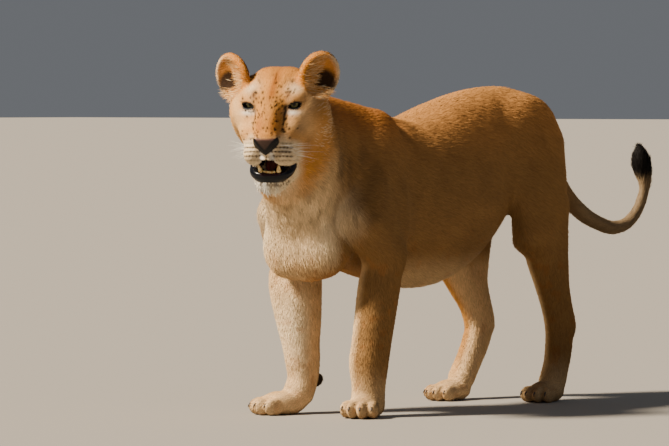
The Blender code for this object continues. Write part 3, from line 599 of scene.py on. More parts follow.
def coatDepth(points):
    # how far the skin lies inside the solids: thick on trunk and chest, thin on face and feet
    x, y, z = points.T
    local = head.into(points)
    depth = coatThickness["trunk"] + (coatThickness["chest"] * bump(x, -0.56, 0.09)
                                      * ramp(z, 0.40, 0.50))
    openMouth = np.maximum(ramp(lipDistance(points), 0.012, 0.004),
                           ramp(mouthRoom.distance(points), 0.008, 0.004))
    ear = np.maximum(earness(points, "left"), earness(points, "right"))
    eyeArea = np.maximum(*(blob(local, (0, s * 0.060, 0), (0.03, 0.026, 0.022)) for s in signs))
    noseArea = blob(local, (0.105, 0, -0.070), (0.030, 0.045, 0.035))
    for zone, weight in (("legs", ramp(z, 0.46, 0.36) * (1 - bellyness(points))),
                         ("feet", ramp(z, 0.09, 0.05)),
                         ("tail", ramp(x, 0.50, 0.60)),
                         ("face", headness(points) * ramp(local[:, 0], -0.16, -0.04)),
                         ("ears", np.clip(ear * 1.3, 0, 1)),
                         ("bare", np.clip(eyeArea * 1.3, 0, 1)),
                         ("bare", np.clip(noseArea * 1.3, 0, 1)),
                         ("bare", np.clip(openMouth * 1.3, 0, 1))):
        depth = depth + (coatThickness[zone] - depth) * weight
    return depth


def bellyness(points):
    x, y, z = points.T
    return ramp(x, -0.30, -0.25) * ramp(x, 0.20, 0.12) * ramp(z, 0.30, 0.34)


def earness(points, name):
    q = earCups[name].into(points)
    return ramp(np.linalg.norm(q / (0.05, 0.064, 0.075), axis=1), 1.15, 0.85)


def lipDistance(points):
    # only worked out near the lip; elsewhere a safe large value
    d = np.full(len(points), 0.1)
    near = np.all((points > lipLimb.lo - 0.02) & (points < lipLimb.hi + 0.02), axis=1)
    i = np.nonzero(near)[0]
    if len(i):
        d[i] = lipLimb.distance(points[i])
    return d


grooves = {
    # x and z along each groove of both flanks; its depth
    "behindShoulder": ([(-0.225, 0.82), (-0.242, 0.70), (-0.258, 0.58), (-0.266, 0.47)], 0.008),
    "beforeThigh": ([(0.225, 0.76), (0.190, 0.64), (0.168, 0.52)], 0.008),
    "alongShoulderBlade": ([(-0.385, 0.72), (-0.350, 0.63), (-0.335, 0.55)], 0.005),
}


def muscleGrooves(body):
    # each groove is a soft cut whose middle follows the flank's own surface
    tries = 97
    reach = np.linspace(0.02, 0.26, tries)
    for line, depth in grooves.values():
        x, z = smoothRings(line, 3).T
        t = np.sin(np.linspace(0, pi, len(x)))
        for s in signs:
            y = []
            for a, b in zip(x, z):
                ray = np.column_stack([np.full(tries, a), s * reach, np.full(tries, b)])
                inside = body.at(ray) < 0
                y.append(reach[np.nonzero(inside)[0].max()])
            radius = 0.010 + depth * t
            rings = np.column_stack([x, s * (np.array(y) + 0.015), z, radius, radius, radius])
            body.cut(Limb(rings, side=(1, 0, 0)), 0.022)


def lionessField():
    body = Field()
    for part in (trunkAndNeck, shoulders, forelegs, hindLegs, tail, paws, skull, muzzle,
                 jawAndThroat):
        part(body)
    muscleGrooves(body)
    body.cut(mouthRoom, 0.006)
    body.cut(lipNotch, 0.004)
    gums(body)
    body.add(lipLimb, 0.006)
    nostrils(body)
    ears(body)
    eyelids(body)
    body.under = coatDepth
    return body


def fieldGrid(body, lo, hi, cell, coarse):
    # the field on a coarse grid first; a fine value is worked out only close to the surface
    lo, hi = np.array(lo, float), np.array(hi, float)
    n = np.ceil((hi - lo) / (cell * coarse)).astype(int)
    knots = [lo[a] + cell * coarse * np.arange(n[a] + 1) for a in range(3)]
    points = np.stack(np.meshgrid(*knots, indexing="ij"), -1).reshape(-1, 3)
    rough = body.at(points).reshape(n + 1)
    near = np.abs(rough) < 1.5 * cell * coarse
    cells = np.zeros(n, bool)
    for i, j, k in np.ndindex(2, 2, 2):
        cells |= near[i:n[0] + i, j:n[1] + j, k:n[2] + k]
    f, live = (np.kron(values, np.ones((coarse,) * 3, values.dtype))
               for values in (rough[:-1, :-1, :-1], cells))
    index = np.argwhere(live)
    f[tuple(index.T)] = body.at(lo + cell * index)
    return f


def joinDiagonals(f, cell):
    # fills grid faces whose inside corners meet only across a diagonal, where a net would pinch;
    # a fill can open another pinch, so it goes round until none is left, six times at most
    for turn in range(6):
        found = 0
        for a in range(3):
            views = {}
            for db, dc in np.ndindex(2, 2):
                part = [slice(None)] * 3
                part[(a + 1) % 3] = slice(db, db - 1 or None)
                part[(a + 2) % 3] = slice(dc, dc - 1 or None)
                views[db, dc] = f[tuple(part)]
            inside = {key: view < 0 for key, view in views.items()}
            odd = ((inside[0, 0] == inside[1, 1]) & (inside[0, 1] == inside[1, 0])
                   & (inside[0, 0] != inside[0, 1]))
            found += odd.sum()
            for key, view in views.items():
                view[odd & ~inside[key]] = -0.05 * cell
        if not found:
            break


def surfaceNet(f, lo, cell):
    # one point in each cell that the zero level crosses, at the mean of its edge crossings;
    # one quad across each grid edge that the level crosses
    inside = f < 0
    shape = np.array(f.shape) - 1
    corners = list(np.ndindex(2, 2, 2))
    count = sum(inside[i:shape[0] + i, j:shape[1] + j, k:shape[2] + k].astype(int)
                for i, j, k in corners)
    cells = np.argwhere((count > 0) & (count < 8))
    total = np.zeros((len(cells), 3))
    crossings = np.zeros(len(cells))
    for a in range(3):
        for corner in corners:
            if corner[a]:
                continue
            start = cells + corner
            stop = start.copy()
            stop[:, a] += 1
            f0, f1 = f[tuple(start.T)], f[tuple(stop.T)]
            crossed = (f0 < 0) != (f1 < 0)
            t = np.where(crossed, f0 / np.where(crossed, f0 - f1, 1), 0)
            point = np.tile(np.array(corner, float), (len(cells), 1))
            point[:, a] += t
            total += np.where(crossed[:, None], point, 0)
            crossings += crossed
    points = lo + cell * (cells + total / crossings[:, None])
    number = np.full(shape, -1)
    number[tuple(cells.T)] = np.arange(len(cells))
    quads = []
    for a in range(3):
        b, c = (a + 1) % 3, (a + 2) % 3
        low, high = [slice(None)] * 3, [slice(None)] * 3
        low[a], high[a] = slice(0, -1), slice(1, None)
        start, stop = inside[tuple(low)], inside[tuple(high)]
        edges = np.argwhere(start != stop)
        ring = []
        for db, dc in ((-1, -1), (0, -1), (0, 0), (-1, 0)):
            near = edges.copy()
            near[:, b] += db
            near[:, c] += dc
            ring.append(number[tuple(near.T)])
        ring = np.stack(ring, 1)
        backwards = ~start[tuple(edges.T)]
        ring[backwards] = ring[backwards][:, ::-1]
        quads.append(ring)
    return points, np.vstack(quads)


def meshFrom(name, points, faces, smooth=True):
    # points are body coordinates; faces is an array with one row of corners a face
    mesh = bpy.data.meshes.new(name)
    faces = np.asarray(faces)
    mesh.vertices.add(len(points))
    mesh.vertices.foreach_set("co", (points + figure["middle"]).astype(np.float32).ravel())
    mesh.loops.add(faces.size)
    mesh.loops.foreach_set("vertex_index", faces.astype(np.int32).ravel())
    mesh.polygons.add(len(faces))
    mesh.polygons.foreach_set("loop_start", np.arange(0, faces.size, faces.shape[1], dtype=np.int32))
    mesh.update(calc_edges=True)
    mesh.validate()
    if smooth:
        mesh.shade_smooth()
    return mesh


def inScene(name, data):
    thing = bpy.data.objects.new(name, data)
    bpy.context.scene.collection.objects.link(thing)
    return thing


def addObject(name, mesh, material, replaced=()):
    thing = inScene(name, mesh)
    mesh.materials.append(material)
    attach(thing, "root")
    if replaced:
        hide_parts(*replaced)
    return thing


skinMesh = {
    "bodyLo": (-0.70, -0.27, -0.03), "bodyHi": (0.99, 0.27, 1.00), "bodyCell": 0.0090,
    "headLo": (-0.97, -0.29, 0.53), "headHi": (-0.46, 0.13, 1.03), "headCell": 0.0030,
    "seam": 0.006,             # width of the strip that joins the two nets round the neck
}


def closeWalls(f, cell):
    for a in range(3):
        wall = [slice(None)] * 3
        for wall[a] in (0, -1):
            f[tuple(wall)] = cell


def netOf(body, lo, hi, cell, coarse):
    f = fieldGrid(body, lo, hi, cell, coarse)
    closeWalls(f, cell)
    joinDiagonals(f, cell)
    points, quads = surfaceNet(f, np.array(lo), cell)
    points = body.settle(points, 0.6 * cell)
    return points, quads


def cutNet(net, keepFront):
    # the part of a net before or behind the nape, as a mesh
    points, quads = net
    points[:, 2] = np.maximum(points[:, 2], 0)
    mesh = meshFrom("net", points, quads)
    part = bmesh.new()
    part.from_mesh(mesh)
    spot = napeSpot + np.array(figure["middle"])
    if not keepFront:
        spot = spot - skinMesh["seam"] * napeNormal
    bmesh.ops.bisect_plane(part, geom=part.verts[:] + part.edges[:] + part.faces[:],
                           plane_co=spot, plane_no=napeNormal, dist=1e-6,
                           clear_inner=keepFront, clear_outer=not keepFront)
    loose = [v for v in part.verts if not v.link_faces]
    bmesh.ops.delete(part, geom=loose, context="VERTS")
    part.to_mesh(mesh)
    part.free()
    return mesh


def buildSkin(body):
    # a coarse net for the trunk and a fine one for the head, cut by one plane across the neck
    # and joined by a narrow strip, so the skin is a single closed surface
    joined = bmesh.new()
    for part, coarse in (("body", 2), ("head", 3)):
        lo, hi, cell = (skinMesh[part + key] for key in ("Lo", "Hi", "Cell"))
        net = netOf(body, lo, hi, cell, coarse)
        print(part, "net", len(net[0]))
        mesh = cutNet(net, part == "head")
        joined.from_mesh(mesh)
        bpy.data.meshes.remove(mesh)
    border = [e for e in joined.edges if e.is_boundary]
    bmesh.ops.bridge_loops(joined, edges=border)
    bmesh.ops.recalc_face_normals(joined, faces=joined.faces)
    oddEdges = sum(not e.is_manifold for e in joined.edges)
    mesh = bpy.data.meshes.new("skin")
    joined.to_mesh(mesh)
    joined.free()
    mesh.shade_smooth()
    print("skin vertices", len(mesh.vertices), "open or odd edges", oddEdges)
    return mesh


# the coat's colours: its markings, and painted light and shade, shared by skin and tufts
tints = {name: linear(c) for name, c in {
    "tawny": "#BC7C36", "back": "#B57E44", "flank": "#8C683C", "pale": "#E2BE8C",
    "cream": "#F4DCB4", "white": "#F8F0E2", "rust": "#9C5618", "rustDark": "#6E3A12",
    "gold": "#C98B42", "orange": "#CB7E22", "dark": "#2E1B0D", "black": "#0E0A08", "tail": "#786A54",
    "smoke": "#4A3C2E", "nose": "#35261F", "noseDark": "#080606", "noseTop": "#835C50",
    "lip": "#090A10", "mouth": "#30151A", "earHollowShade": "#150E09",
    "pupil": "#0A0806", "iris": "#4C4A2E", "irisLight": "#827C52", "irisInner": "#3C331C",
    "irisEdge": "#1B120C"}.items()}


def mix(a, b, t):
    return a + (b - a) * np.clip(t, 0, 1)[:, None]


def plain(tint, points):
    return np.tile(tints[tint], (len(points), 1))


def painted(c, *layers):
    # each layer is a tint and its weight at every point, laid over the ones before
    for tint, weight in layers:
        c = mix(c, tints[tint], weight)
    return c


def makeFreckles(bridge=70, elsewhere=75):
    # dark specks: side, height seen from in front, radius; half of them beside the nose's bridge
    near = np.column_stack([rng.choice((-1, 1), bridge) * rng.uniform(0.016, 0.048, bridge),
                            rng.uniform(-0.088, 0.062, bridge)])
    wide = np.column_stack([rng.uniform(-0.080, 0.080, elsewhere),
                            rng.uniform(-0.095, 0.095, elsewhere)])
    both = np.vstack([near, wide])
    return np.column_stack([both, rng.uniform(0.0014, 0.0029, len(both))])


face = {
    "freckles": makeFreckles(),
    # soft patches: side, height, their half sizes, tint, strength
    "patches": [
        (0.060, 0.042, 0.024, 0.018, "cream", 0.62), (0.062, -0.0215, 0.019, 0.0085, "white", 0.90),
        (0.090, -0.050, 0.028, 0.050, "pale", 0.62), (0.104, 0.010, 0.018, 0.034, "pale", 0.45),
        (0.052, -0.052, 0.014, 0.016, "pale", 0.35), (0.040, -0.088, 0.016, 0.012, "cream", 0.60),
        (0.047, 0.026, 0.0075, 0.013, "rustDark", 0.75), (0.052, -0.004, 0.010, 0.020, "cream", 0.30)],
    # dark strokes: side, height, half length, slope in degrees, half width, sign of the side
    "strokes": [
        (0.029, 0.010, 0.0075, -52, 0.0016, 1), (0.046, 0.021, 0.0060, 58, 0.0017, 1),
        (0.037, -0.004, 0.0040, -45, 0.0015, 1), (0.020, 0.004, 0.0045, -60, 0.0014, 1),
        (0.047, 0.024, 0.0060, 80, 0.0018, -1), (0.030, 0.016, 0.0030, 85, 0.0014, -1),
        (0.030, 0.004, 0.0030, 85, 0.0016, -1), (0.046, -0.050, 0.0050, 60, 0.0013, -1),
        (0.040, -0.064, 0.0060, 60, 0.0014, -1), (0.024, -0.066, 0.0040, -45, 0.0018, 1)],
    # tear line on each side, partly painted shade: height, side
    "tearLineAndShade": ([-0.064, -0.045, -0.030, -0.012, 0.002], [0.0405, 0.0405, 0.0385, 0.0415, 0.0450]),
    # rows of whisker spots: how many, first height, step down; spots in a row, first side, step out
    "rows": (5, -0.1015, -0.0112), "spots": (6, 0.016, 0.0088),
}


def faceGround(c, f, s, v, front):
    side = np.abs(s)
    c = painted(c, ("gold", ramp(f, -0.16, -0.06)),
                ("tawny", 0.7 * ramp(v, 0.05, 0.09) * front),      # crown
                ("rust", 0.75 * bump(s, 0.003, 0.011) * ramp(v, -0.03, 0.03) * front))
    for dx, dv, rx, rv, tint, much in face["patches"]:
        spot = np.exp(-((side - dx) / rx) ** 2 - ((v - dv) / rv) ** 2)
        c = painted(c, (tint, much * spot * front))
    bridge = ramp(side, 0.046, 0.030) * ramp(v, -0.092, -0.080) * ramp(v, 0.03, 0.0)
    return painted(c, ("gold", 0.75 * bridge * front),
                   ("rust", 0.5 * bridge * bump(side, 0.020, 0.014) * bump(v, -0.055, 0.030)))


def muzzleAndChin(c, local, f, s, v):
    side = np.abs(s)
    pads = ramp(side, 0.085, 0.068) * ramp(v, -0.086, -0.104) * ramp(f, -0.01, 0.03)
    lipEdge = bump(side, 0.014, 0.007) * ramp(v, -0.100, -0.112) * ramp(f, 0.05, 0.08)
    chin = ramp(np.abs(s + 0.006), 0.060, 0.045) * ramp(v, -0.188, -0.200) * ramp(f, 0.0, 0.04)
    chinSpots = ramp(noise(local, 0.005, 9), 0.10, 0.35) * bump(v, -0.208, 0.016)
    return painted(c, ("cream", 0.9 * pads), ("white", 0.9 * lipEdge), ("cream", 0.6 * chin),
                   # whiter on her right half of the chin: painted light on the side that faces the light
                   ("white", 0.8 * chin * ramp(s, 0.010, -0.020)),
                   ("smoke", 0.8 * chin * chinSpots))


def darkLines(c, s, v, front):
    side = np.abs(s)
    # streak down the forehead, broken
    streak = bump(s, 0.002, 0.0026) * ramp(v, 0.050, 0.062) * ramp(v, 0.108, 0.095)
    # tear lines from the inner corners down beside the nose: a dark marking, with painted shade between
    # the bridge and the cheek in its wider top and its greater strength on her left
    line = np.interp(v, *face["tearLineAndShade"])
    width = 0.0022 + 0.0028 * ramp(v, -0.034, -0.010)
    tearLineAndShade = bump(side, line, width) * ramp(v, 0.004, -0.003) * ramp(v, -0.066, -0.052)
    # thin line from the outer corner of each eye
    corner = bump(v, 0.0075, 0.0018) * ramp(side, 0.094, 0.080) * ramp(side, 0.066, 0.072)
    return painted(c, ("dark", 0.85 * streak * front * (0.65 + 0.35 * np.sin(v * 500))),
                   # stronger on her left: painted shade on that side of the face
                   ("black", np.where(s > 0, 0.95, 0.70) * tearLineAndShade * front),
                   ("dark", 0.8 * corner * front))


def whiskerSpots(c, side, v, forward):
    # every other row is set out by 3 mm; the first and last rows are faint
    rows, firstRow, down = face["rows"]
    spots, firstSpot, out = face["spots"]
    for row in range(rows):
        level = firstRow + down * row
        strength = 0.6 if row in (0, rows - 1) else 1.3
        for k in range(spots):
            dx = firstSpot + out * k + 0.003 * (row % 2)
            spot = np.exp(-((side - dx) / 0.0036) ** 2 - ((v - level + 0.0003 * k) / 0.0024) ** 2)
            c = painted(c, ("dark", np.minimum(strength * spot, 0.95) * forward))
    return c


def strokesAndFreckles(c, f, s, v, front, forward):
    for dx, dv, long, slope, half, sign in face["strokes"]:
        a, b = s * sign - dx, v - dv
        along = a * cos(radians(slope)) + b * sin(radians(slope))
        across = b * cos(radians(slope)) - a * sin(radians(slope))
        stroke = np.exp(-(along / long) ** 4 - (across / half) ** 2)
        c = painted(c, ("dark", 0.85 * front * stroke))
    near = np.nonzero(forward > 0.2)[0]
    for x0, v0, r in face["freckles"]:
        spot = np.zeros(len(s))
        spot[near] = np.exp(-((s[near] - x0) ** 2 + (v[near] - v0) ** 2) / r ** 2)
        c = painted(c, ("black", np.minimum(1.4 * spot, 0.95) * ramp(f, -0.10, -0.05)))
    return c


def faceColour(base, points, normals):
    # f, s and h are ahead, side and up in the head's place; v is the height seen from in front
    local = head.into(points)
    f, s, h = local.T
    v = seenHeight(f, h)
    front = ramp(f, -0.14, -0.06)
    forward = ramp(normals @ head.axes[0], -0.1, 0.4)
    c = faceGround(base, f, s, v, front)
    c = muzzleAndChin(c, local, f, s, v)
    c = darkLines(c, s, v, front)
    c = whiskerSpots(c, np.abs(s), v, forward * ramp(f, 0.0, 0.03))
    return strokesAndFreckles(c, f, s, v, front, forward)


def trunkAndLegsColour(points, normals):
    x, y, z = points.T
    nx, ny, nz = normals.T
    belly = bellyness(points)
    legs = ramp(z, 0.46, 0.38) * (1 - belly)
    # painted light: paler fronts on her right foreleg only, the side that faces the key light
    paintedLightLegFronts = legs * ramp(-nx, 0.1, 0.8) * ramp(x, -0.2, -0.3) * ramp(y, -0.04, 0.04)
    withers = ramp(x, -0.14, -0.28) * ramp(z, 0.74, 0.84) * ramp(nz, 0.0, 0.6)
    chest = ramp(x, -0.46, -0.56) * ramp(z, 0.40, 0.48) * ramp(-nx - 0.4 * nz, 0.1, 0.7)
    throat = ramp(x, -0.50, -0.58) * ramp(nz, 0.3, -0.3) * ramp(z, 0.80, 0.70)
    neck = bump(pastNape(points), -0.06, 0.12) * ramp(z, 0.50, 0.56) * ramp(nz, 0.5, 0.0)
    longStreaks = ramp(noise(points * (1, 1, 0.18), 0.014, 8), 0.05, 0.5)
    faintSpots = ramp(noise(points, 0.020, 3), 0.35, 0.6) * ramp(z, 0.55, 0.40)
    pads = [np.minimum(2.2 * blob(points, pad, (0.020, 0.020, 0.023)), 0.95) for pad in carpalPads]
    return painted(
        plain("flank", points),
        # painted light: surfaces of the back and rump that face up get the lighter back tint
        ("back", ramp(z, 0.62, 0.84) * ramp(nz, -0.2, 0.7)),
        ("rust", 0.55 * withers),
        # belly, groin and inner legs are paler
        ("pale", 0.75 * ramp(z, 0.46, 0.36) * ramp(nz, 0.2, -0.5) * belly),
        # painted light and shade by side: her right legs golder, her left legs kept in the darker flank
        # tint
        ("gold", 0.5 * legs * ramp(y, -0.16, 0.02)),
        ("pale", 0.85 * legs * ramp(-np.sign(y) * ny, -0.1, 0.6)),
        ("pale", 0.6 * paintedLightLegFronts),
        ("cream", 0.6 * paintedLightLegFronts * bump(z, 0.24, 0.12)),
        ("pale", 0.5 * ramp(z, 0.16, 0.06)),
        ("cream", 0.75 * chest),
        ("pale", 0.7 * throat),
        # dark streaks down the sides of the neck: streaky hair tone, and painted shade between the long
        # hairs
        ("smoke", 0.45 * neck * longStreaks),
        ("rust", 0.22 * faintSpots),
        # the tail is greyer towards its end, and its tuft near-black
        ("tail", 0.7 * ramp(x, 0.56, 0.70)),
        ("black", ramp(z, 0.615, 0.650) * ramp(x, 0.85, 0.88)),
        *(("black", pad) for pad in pads),
        # heels and the backs of the forelegs are smoky
        ("smoke", 0.65 * ramp(z, 0.27, 0.18) * ramp(nx, 0.3, 0.8)))


def earColour(c, points, normals):
    # painted shade in the bottom of the cup, pale rim, dark patch behind
    for name, side in sides:
        q = earCups[name].into(points)
        w = earness(points, name)
        facing = normals @ earCups[name].axes[0]
        outer = ramp(side * q[:, 1], -0.010, 0.020)
        rim = outer * bump(cupRadius(q), 1.0, 0.13)
        low = np.exp(-((q[:, 1] - side * 0.016) / 0.034) ** 2 - ((q[:, 2] + 0.012) / 0.036) ** 2)
        # painted shade darkens the bottom of the cup, where it faces out
        hollow = ramp(facing, -0.1, 0.3) * ramp(q[:, 0], 0.026, 0.012) * ramp(low, 0.18, 0.60)
        behind = ramp(facing, -0.2, -0.7)
        c = painted(c, ("orange", 0.85 * w),
                    ("cream", w * 0.75 * rim * ramp(facing, -0.4, 0.3)),
                    ("earHollowShade", 0.95 * w * hollow),
                    ("black", 0.85 * w * behind * ramp(q[:, 2], 0.030, 0.005)))
    return c


mottling = ((0.08, 0.110, 10), (0.09, 0.040, 1), (0.05, 0.009, 2))     # strength, grain, seed


def coatColour(points, normals):
    c = trunkAndLegsColour(points, normals)
    c = mix(c, faceColour(c, points, normals), headness(points))
    c = earColour(c, points, normals)
    c = c * sum((much * noise(points, grain, seed) for much, grain, seed in mottling), 1)[:, None]
    return np.clip(c, 0, 1)


def rimDistance(points):
    # distance to the lids' edges as seen from in front of each eye, worked out near the eyes only
    d = np.full(len(points), 0.1)
    for s in signs:
        place, curves = lidCurves(s)
        q = place.into(points)
        near = np.nonzero((np.linalg.norm(q, axis=1) < 0.045) & (q[:, 0] > 0))[0]
        for curve in curves:
            for p in smoothRings(curve[:, 1:], 3):
                d[near] = np.minimum(d[near], np.linalg.norm(q[near, 1:] - p, axis=1))
    return d


bareSkin = {
    # up, and half the width of the nose there
    "noseEdge": ([-0.093, -0.088, -0.074, -0.060, -0.048, -0.045],
                 [0, 0.009, 0.028, 0.043, 0.040, 0]),
    # slit of a nostril along the lower edge: side and height seen from in front, both ends
    "slit": ((0.044, -0.086), (0.004, -0.134)),
}


def bareParts(points):
    # weights of nose skin, black lip and rim skin, and the mouth's inside
    f, s, h = head.into(points).T
    half = np.interp(h, *bareSkin["noseEdge"])
    nose = ramp(f, 0.086, 0.092) * ramp(np.abs(s) - half, 0.002, -0.001) * ramp(h, -0.044, -0.048)
    lip = ramp(lipDistance(points), 0.005, 0.002) * ramp(f, -0.02, 0.0)
    room = mouthRoom.distance(points)
    opening = np.minimum(room, lipNotch.distance(points) + 0.003)
    inMouth = ramp(opening, 0.0080, 0.0050) * ramp(f, 0.124, 0.112) * ramp(h, -0.104, -0.110)
    gumRim = (ramp(lipDistance(points), 0.015, 0.011) * ramp(h, -0.188, -0.182)
              * ramp(np.abs(s - mouthShift), 0.052, 0.044) * ramp(f, 0.094, 0.089)
              * ramp(h, -0.150, -0.156))
    corner = ramp(room, 0.012, 0.007) * ramp(h, -0.130, -0.142) * ramp(np.abs(s + 0.004), 0.036, 0.046)
    rim = ramp(rimDistance(points), 0.0056, 0.0038)
    groove = bump(s, 0, 0.0016) * ramp(f, 0.080, 0.095) * ramp(h, -0.088, -0.094) * ramp(h, -0.130, -0.120)
    black = np.maximum.reduce([lip, corner, rim, 0.8 * groove, gumRim])
    return nose, np.clip(black, 0, 1), inMouth


def nostrilDistance(points):
    # distance, seen from in front, to the line of the slits along the nose's lower edges
    f, s, h = head.into(points).T
    a, b = np.array(bareSkin["slit"])
    q = np.column_stack([np.abs(s), seenHeight(f, h)]) - a
    t = np.clip(q @ (b - a) / ((b - a) @ (b - a)), 0, 1)
    return np.linalg.norm(q - t[:, None] * (b - a), axis=1)


def noseColour(points, f, h):
    specks = ramp(noise(points, 0.005, 4), -0.2, 0.6) * ramp(h, -0.060, -0.075)
    return painted(plain("nose", points),
                   ("noseTop", 0.85 * ramp(seenHeight(f, h), -0.097, -0.087)),
                   ("noseDark", 0.5 * specks),
                   ("noseDark", ramp(nostrilDistance(points), 0.0130, 0.0090)),
                   ("noseDark", ramp(h, -0.074, -0.080)))


def mouthColour(points, f, h):
    # painted shade, darker towards the throat deep inside the mouth; black along the lips
    return painted(plain("mouth", points),
                   ("black", ramp(f, 0.070, 0.020) * 0.95),
                   ("lip", ramp(h, -0.148, -0.138) * 0.95),
                   ("lip", ramp(f, 0.066, 0.076) * ramp(h, -0.160, -0.168)))


def skinColour(points, normals):
    # the coat's colours, darker as painted shade under the tufts; then nose, lips, mouth and soles, and
    # how bare and wet they are
    f, s, h = head.into(points).T
    nose, lip, inMouth = bareParts(points)
    sole = ramp(points[:, 2], 0.004, 0.001)
    # the coat's colours at 0.8 are painted shade beneath the tufts
    c = mix(coatColour(points, normals) * 0.80, noseColour(points, f, h), nose)
    c = painted(c, ("lip", lip))
    c = mix(c, mouthColour(points, f, h), inMouth)
    c = painted(c, ("black", sole))
    wet = 1 - 0.42 * ramp(rimDistance(points), 0.009, 0.006)      # rims of the lids are less wet
    return c, np.clip(nose + lip + inMouth + sole, 0, 1) * wet, nose


def setColour(mesh, colours, name="coatColour"):
    layer = mesh.color_attributes.new(name, "FLOAT_COLOR", "POINT")
    rgba = np.column_stack([colours, np.ones(len(colours))]).astype(np.float32)
    layer.data.foreach_set("color", rgba.ravel())


def setValue(mesh, values, name):
    layer = mesh.attributes.new(name, "FLOAT", "POINT")
    layer.data.foreach_set("value", values.astype(np.float32))


def addNode(material, kind, links=None, **settings):
    # adds a node; settings name its properties or, by input name, its input values;
    # links map an input name to another node's output
    node = material.node_tree.nodes.new(kind)
    for key, value in settings.items():
        if hasattr(node, key):
            setattr(node, key, value)
        else:
            node.inputs[key.replace("_", " ")].default_value = value
    for key, source in (links or {}).items():
        material.node_tree.links.new(source, node.inputs[key])
    return node


def newMaterial(name, **values):
    material = bpy.data.materials.new(name)
    material.use_nodes = True
    shader = material.node_tree.nodes["Principled BSDF"]
    for key, value in values.items():
        shader.inputs[key.replace("_", " ")].default_value = value
    return material, shader


def join(material, source, target):
    material.node_tree.links.new(source, target)


def skinMaterial():
    # short under-fur over hide: matt, with fine streaks; bare skin of nose and lips is damp
    material, shader = newMaterial("Short tawny under-fur and damp bare skin",
                                   Roughness=0.85, Specular_IOR_Level=0.25)
    colour = addNode(material, "ShaderNodeAttribute", attribute_name="coatColour")
    bare = addNode(material, "ShaderNodeAttribute", attribute_name="bare")
    place = addNode(material, "ShaderNodeTexCoord")
    hair = addNode(material, "ShaderNodeTexNoise", {"Vector": place.outputs["Object"]},
                   Scale=260.0, Detail=4.0, Roughness=0.7)         # hairs about 4 mm long
    shade = addNode(material, "ShaderNodeMapRange", {"Value": hair.outputs["Fac"]},
                    To_Min=0.72, To_Max=1.22)
    mixed = addNode(material, "ShaderNodeMix",
                    {"A": colour.outputs["Color"], "B": shade.outputs["Result"]},
                    data_type="RGBA", blend_type="MULTIPLY", Factor=1.0)
    join(material, mixed.outputs["Result"], shader.inputs["Base Color"])
    gloss = addNode(material, "ShaderNodeMapRange", {"Value": bare.outputs["Fac"]},
                    To_Min=0.85, To_Max=0.24)
    join(material, gloss.outputs["Result"], shader.inputs["Roughness"])
    pebbles = addNode(material, "ShaderNodeTexVoronoi", {"Vector": place.outputs["Object"]},
                      Scale=700.0)                                 # pebbles of 1.4 mm
    nose = addNode(material, "ShaderNodeAttribute", attribute_name="nose")
    smoothLip = addNode(material, "ShaderNodeMix",
                        {"Factor": bare.outputs["Fac"], "A": hair.outputs["Fac"]},
                        data_type="FLOAT", B=0.5)
    both = addNode(material, "ShaderNodeMix",
                   {"Factor": nose.outputs["Fac"], "A": smoothLip.outputs["Result"],
                    "B": pebbles.outputs["Distance"]}, data_type="FLOAT")
    relief = addNode(material, "ShaderNodeBump", {"Height": both.outputs["Result"]},
                     Strength=0.5, Distance=0.0010)
    join(material, relief.outputs["Normal"], shader.inputs["Normal"])
    return material


def furMaterial():
    # hair: matt, with a low broad highlight
    material, shader = newMaterial("Guard hair of a short coat", Roughness=0.72,
                                   Specular_IOR_Level=0.15)
    colour = addNode(material, "ShaderNodeAttribute", attribute_name="coatColour")
    join(material, colour.outputs["Color"], shader.inputs["Base Color"])
    return material


def surfaceArrays(mesh):
    mesh.calc_loop_triangles()
    points = np.empty(len(mesh.vertices) * 3, np.float32)
    mesh.vertices.foreach_get("co", points)
    normals = np.empty(len(mesh.vertices) * 3, np.float32)
    mesh.vertices.foreach_get("normal", normals)
    triangles = np.empty(len(mesh.loop_triangles) * 3, np.int32)
    mesh.loop_triangles.foreach_get("vertices", triangles)
    return (points.reshape(-1, 3).astype(float) - figure["middle"],
            normals.reshape(-1, 3).astype(float), triangles.reshape(-1, 3))


hairWays = {
    "flank": (0.90, 0, -0.38), "rump": (0.75, 0, -0.66), "chest": (0.25, 0, -1.0),
    "legs": (0.05, 0, -1.0), "feet": (-0.9, 0, -0.45),
    "swirl": 0.16, "swirlSize": 0.11,
}


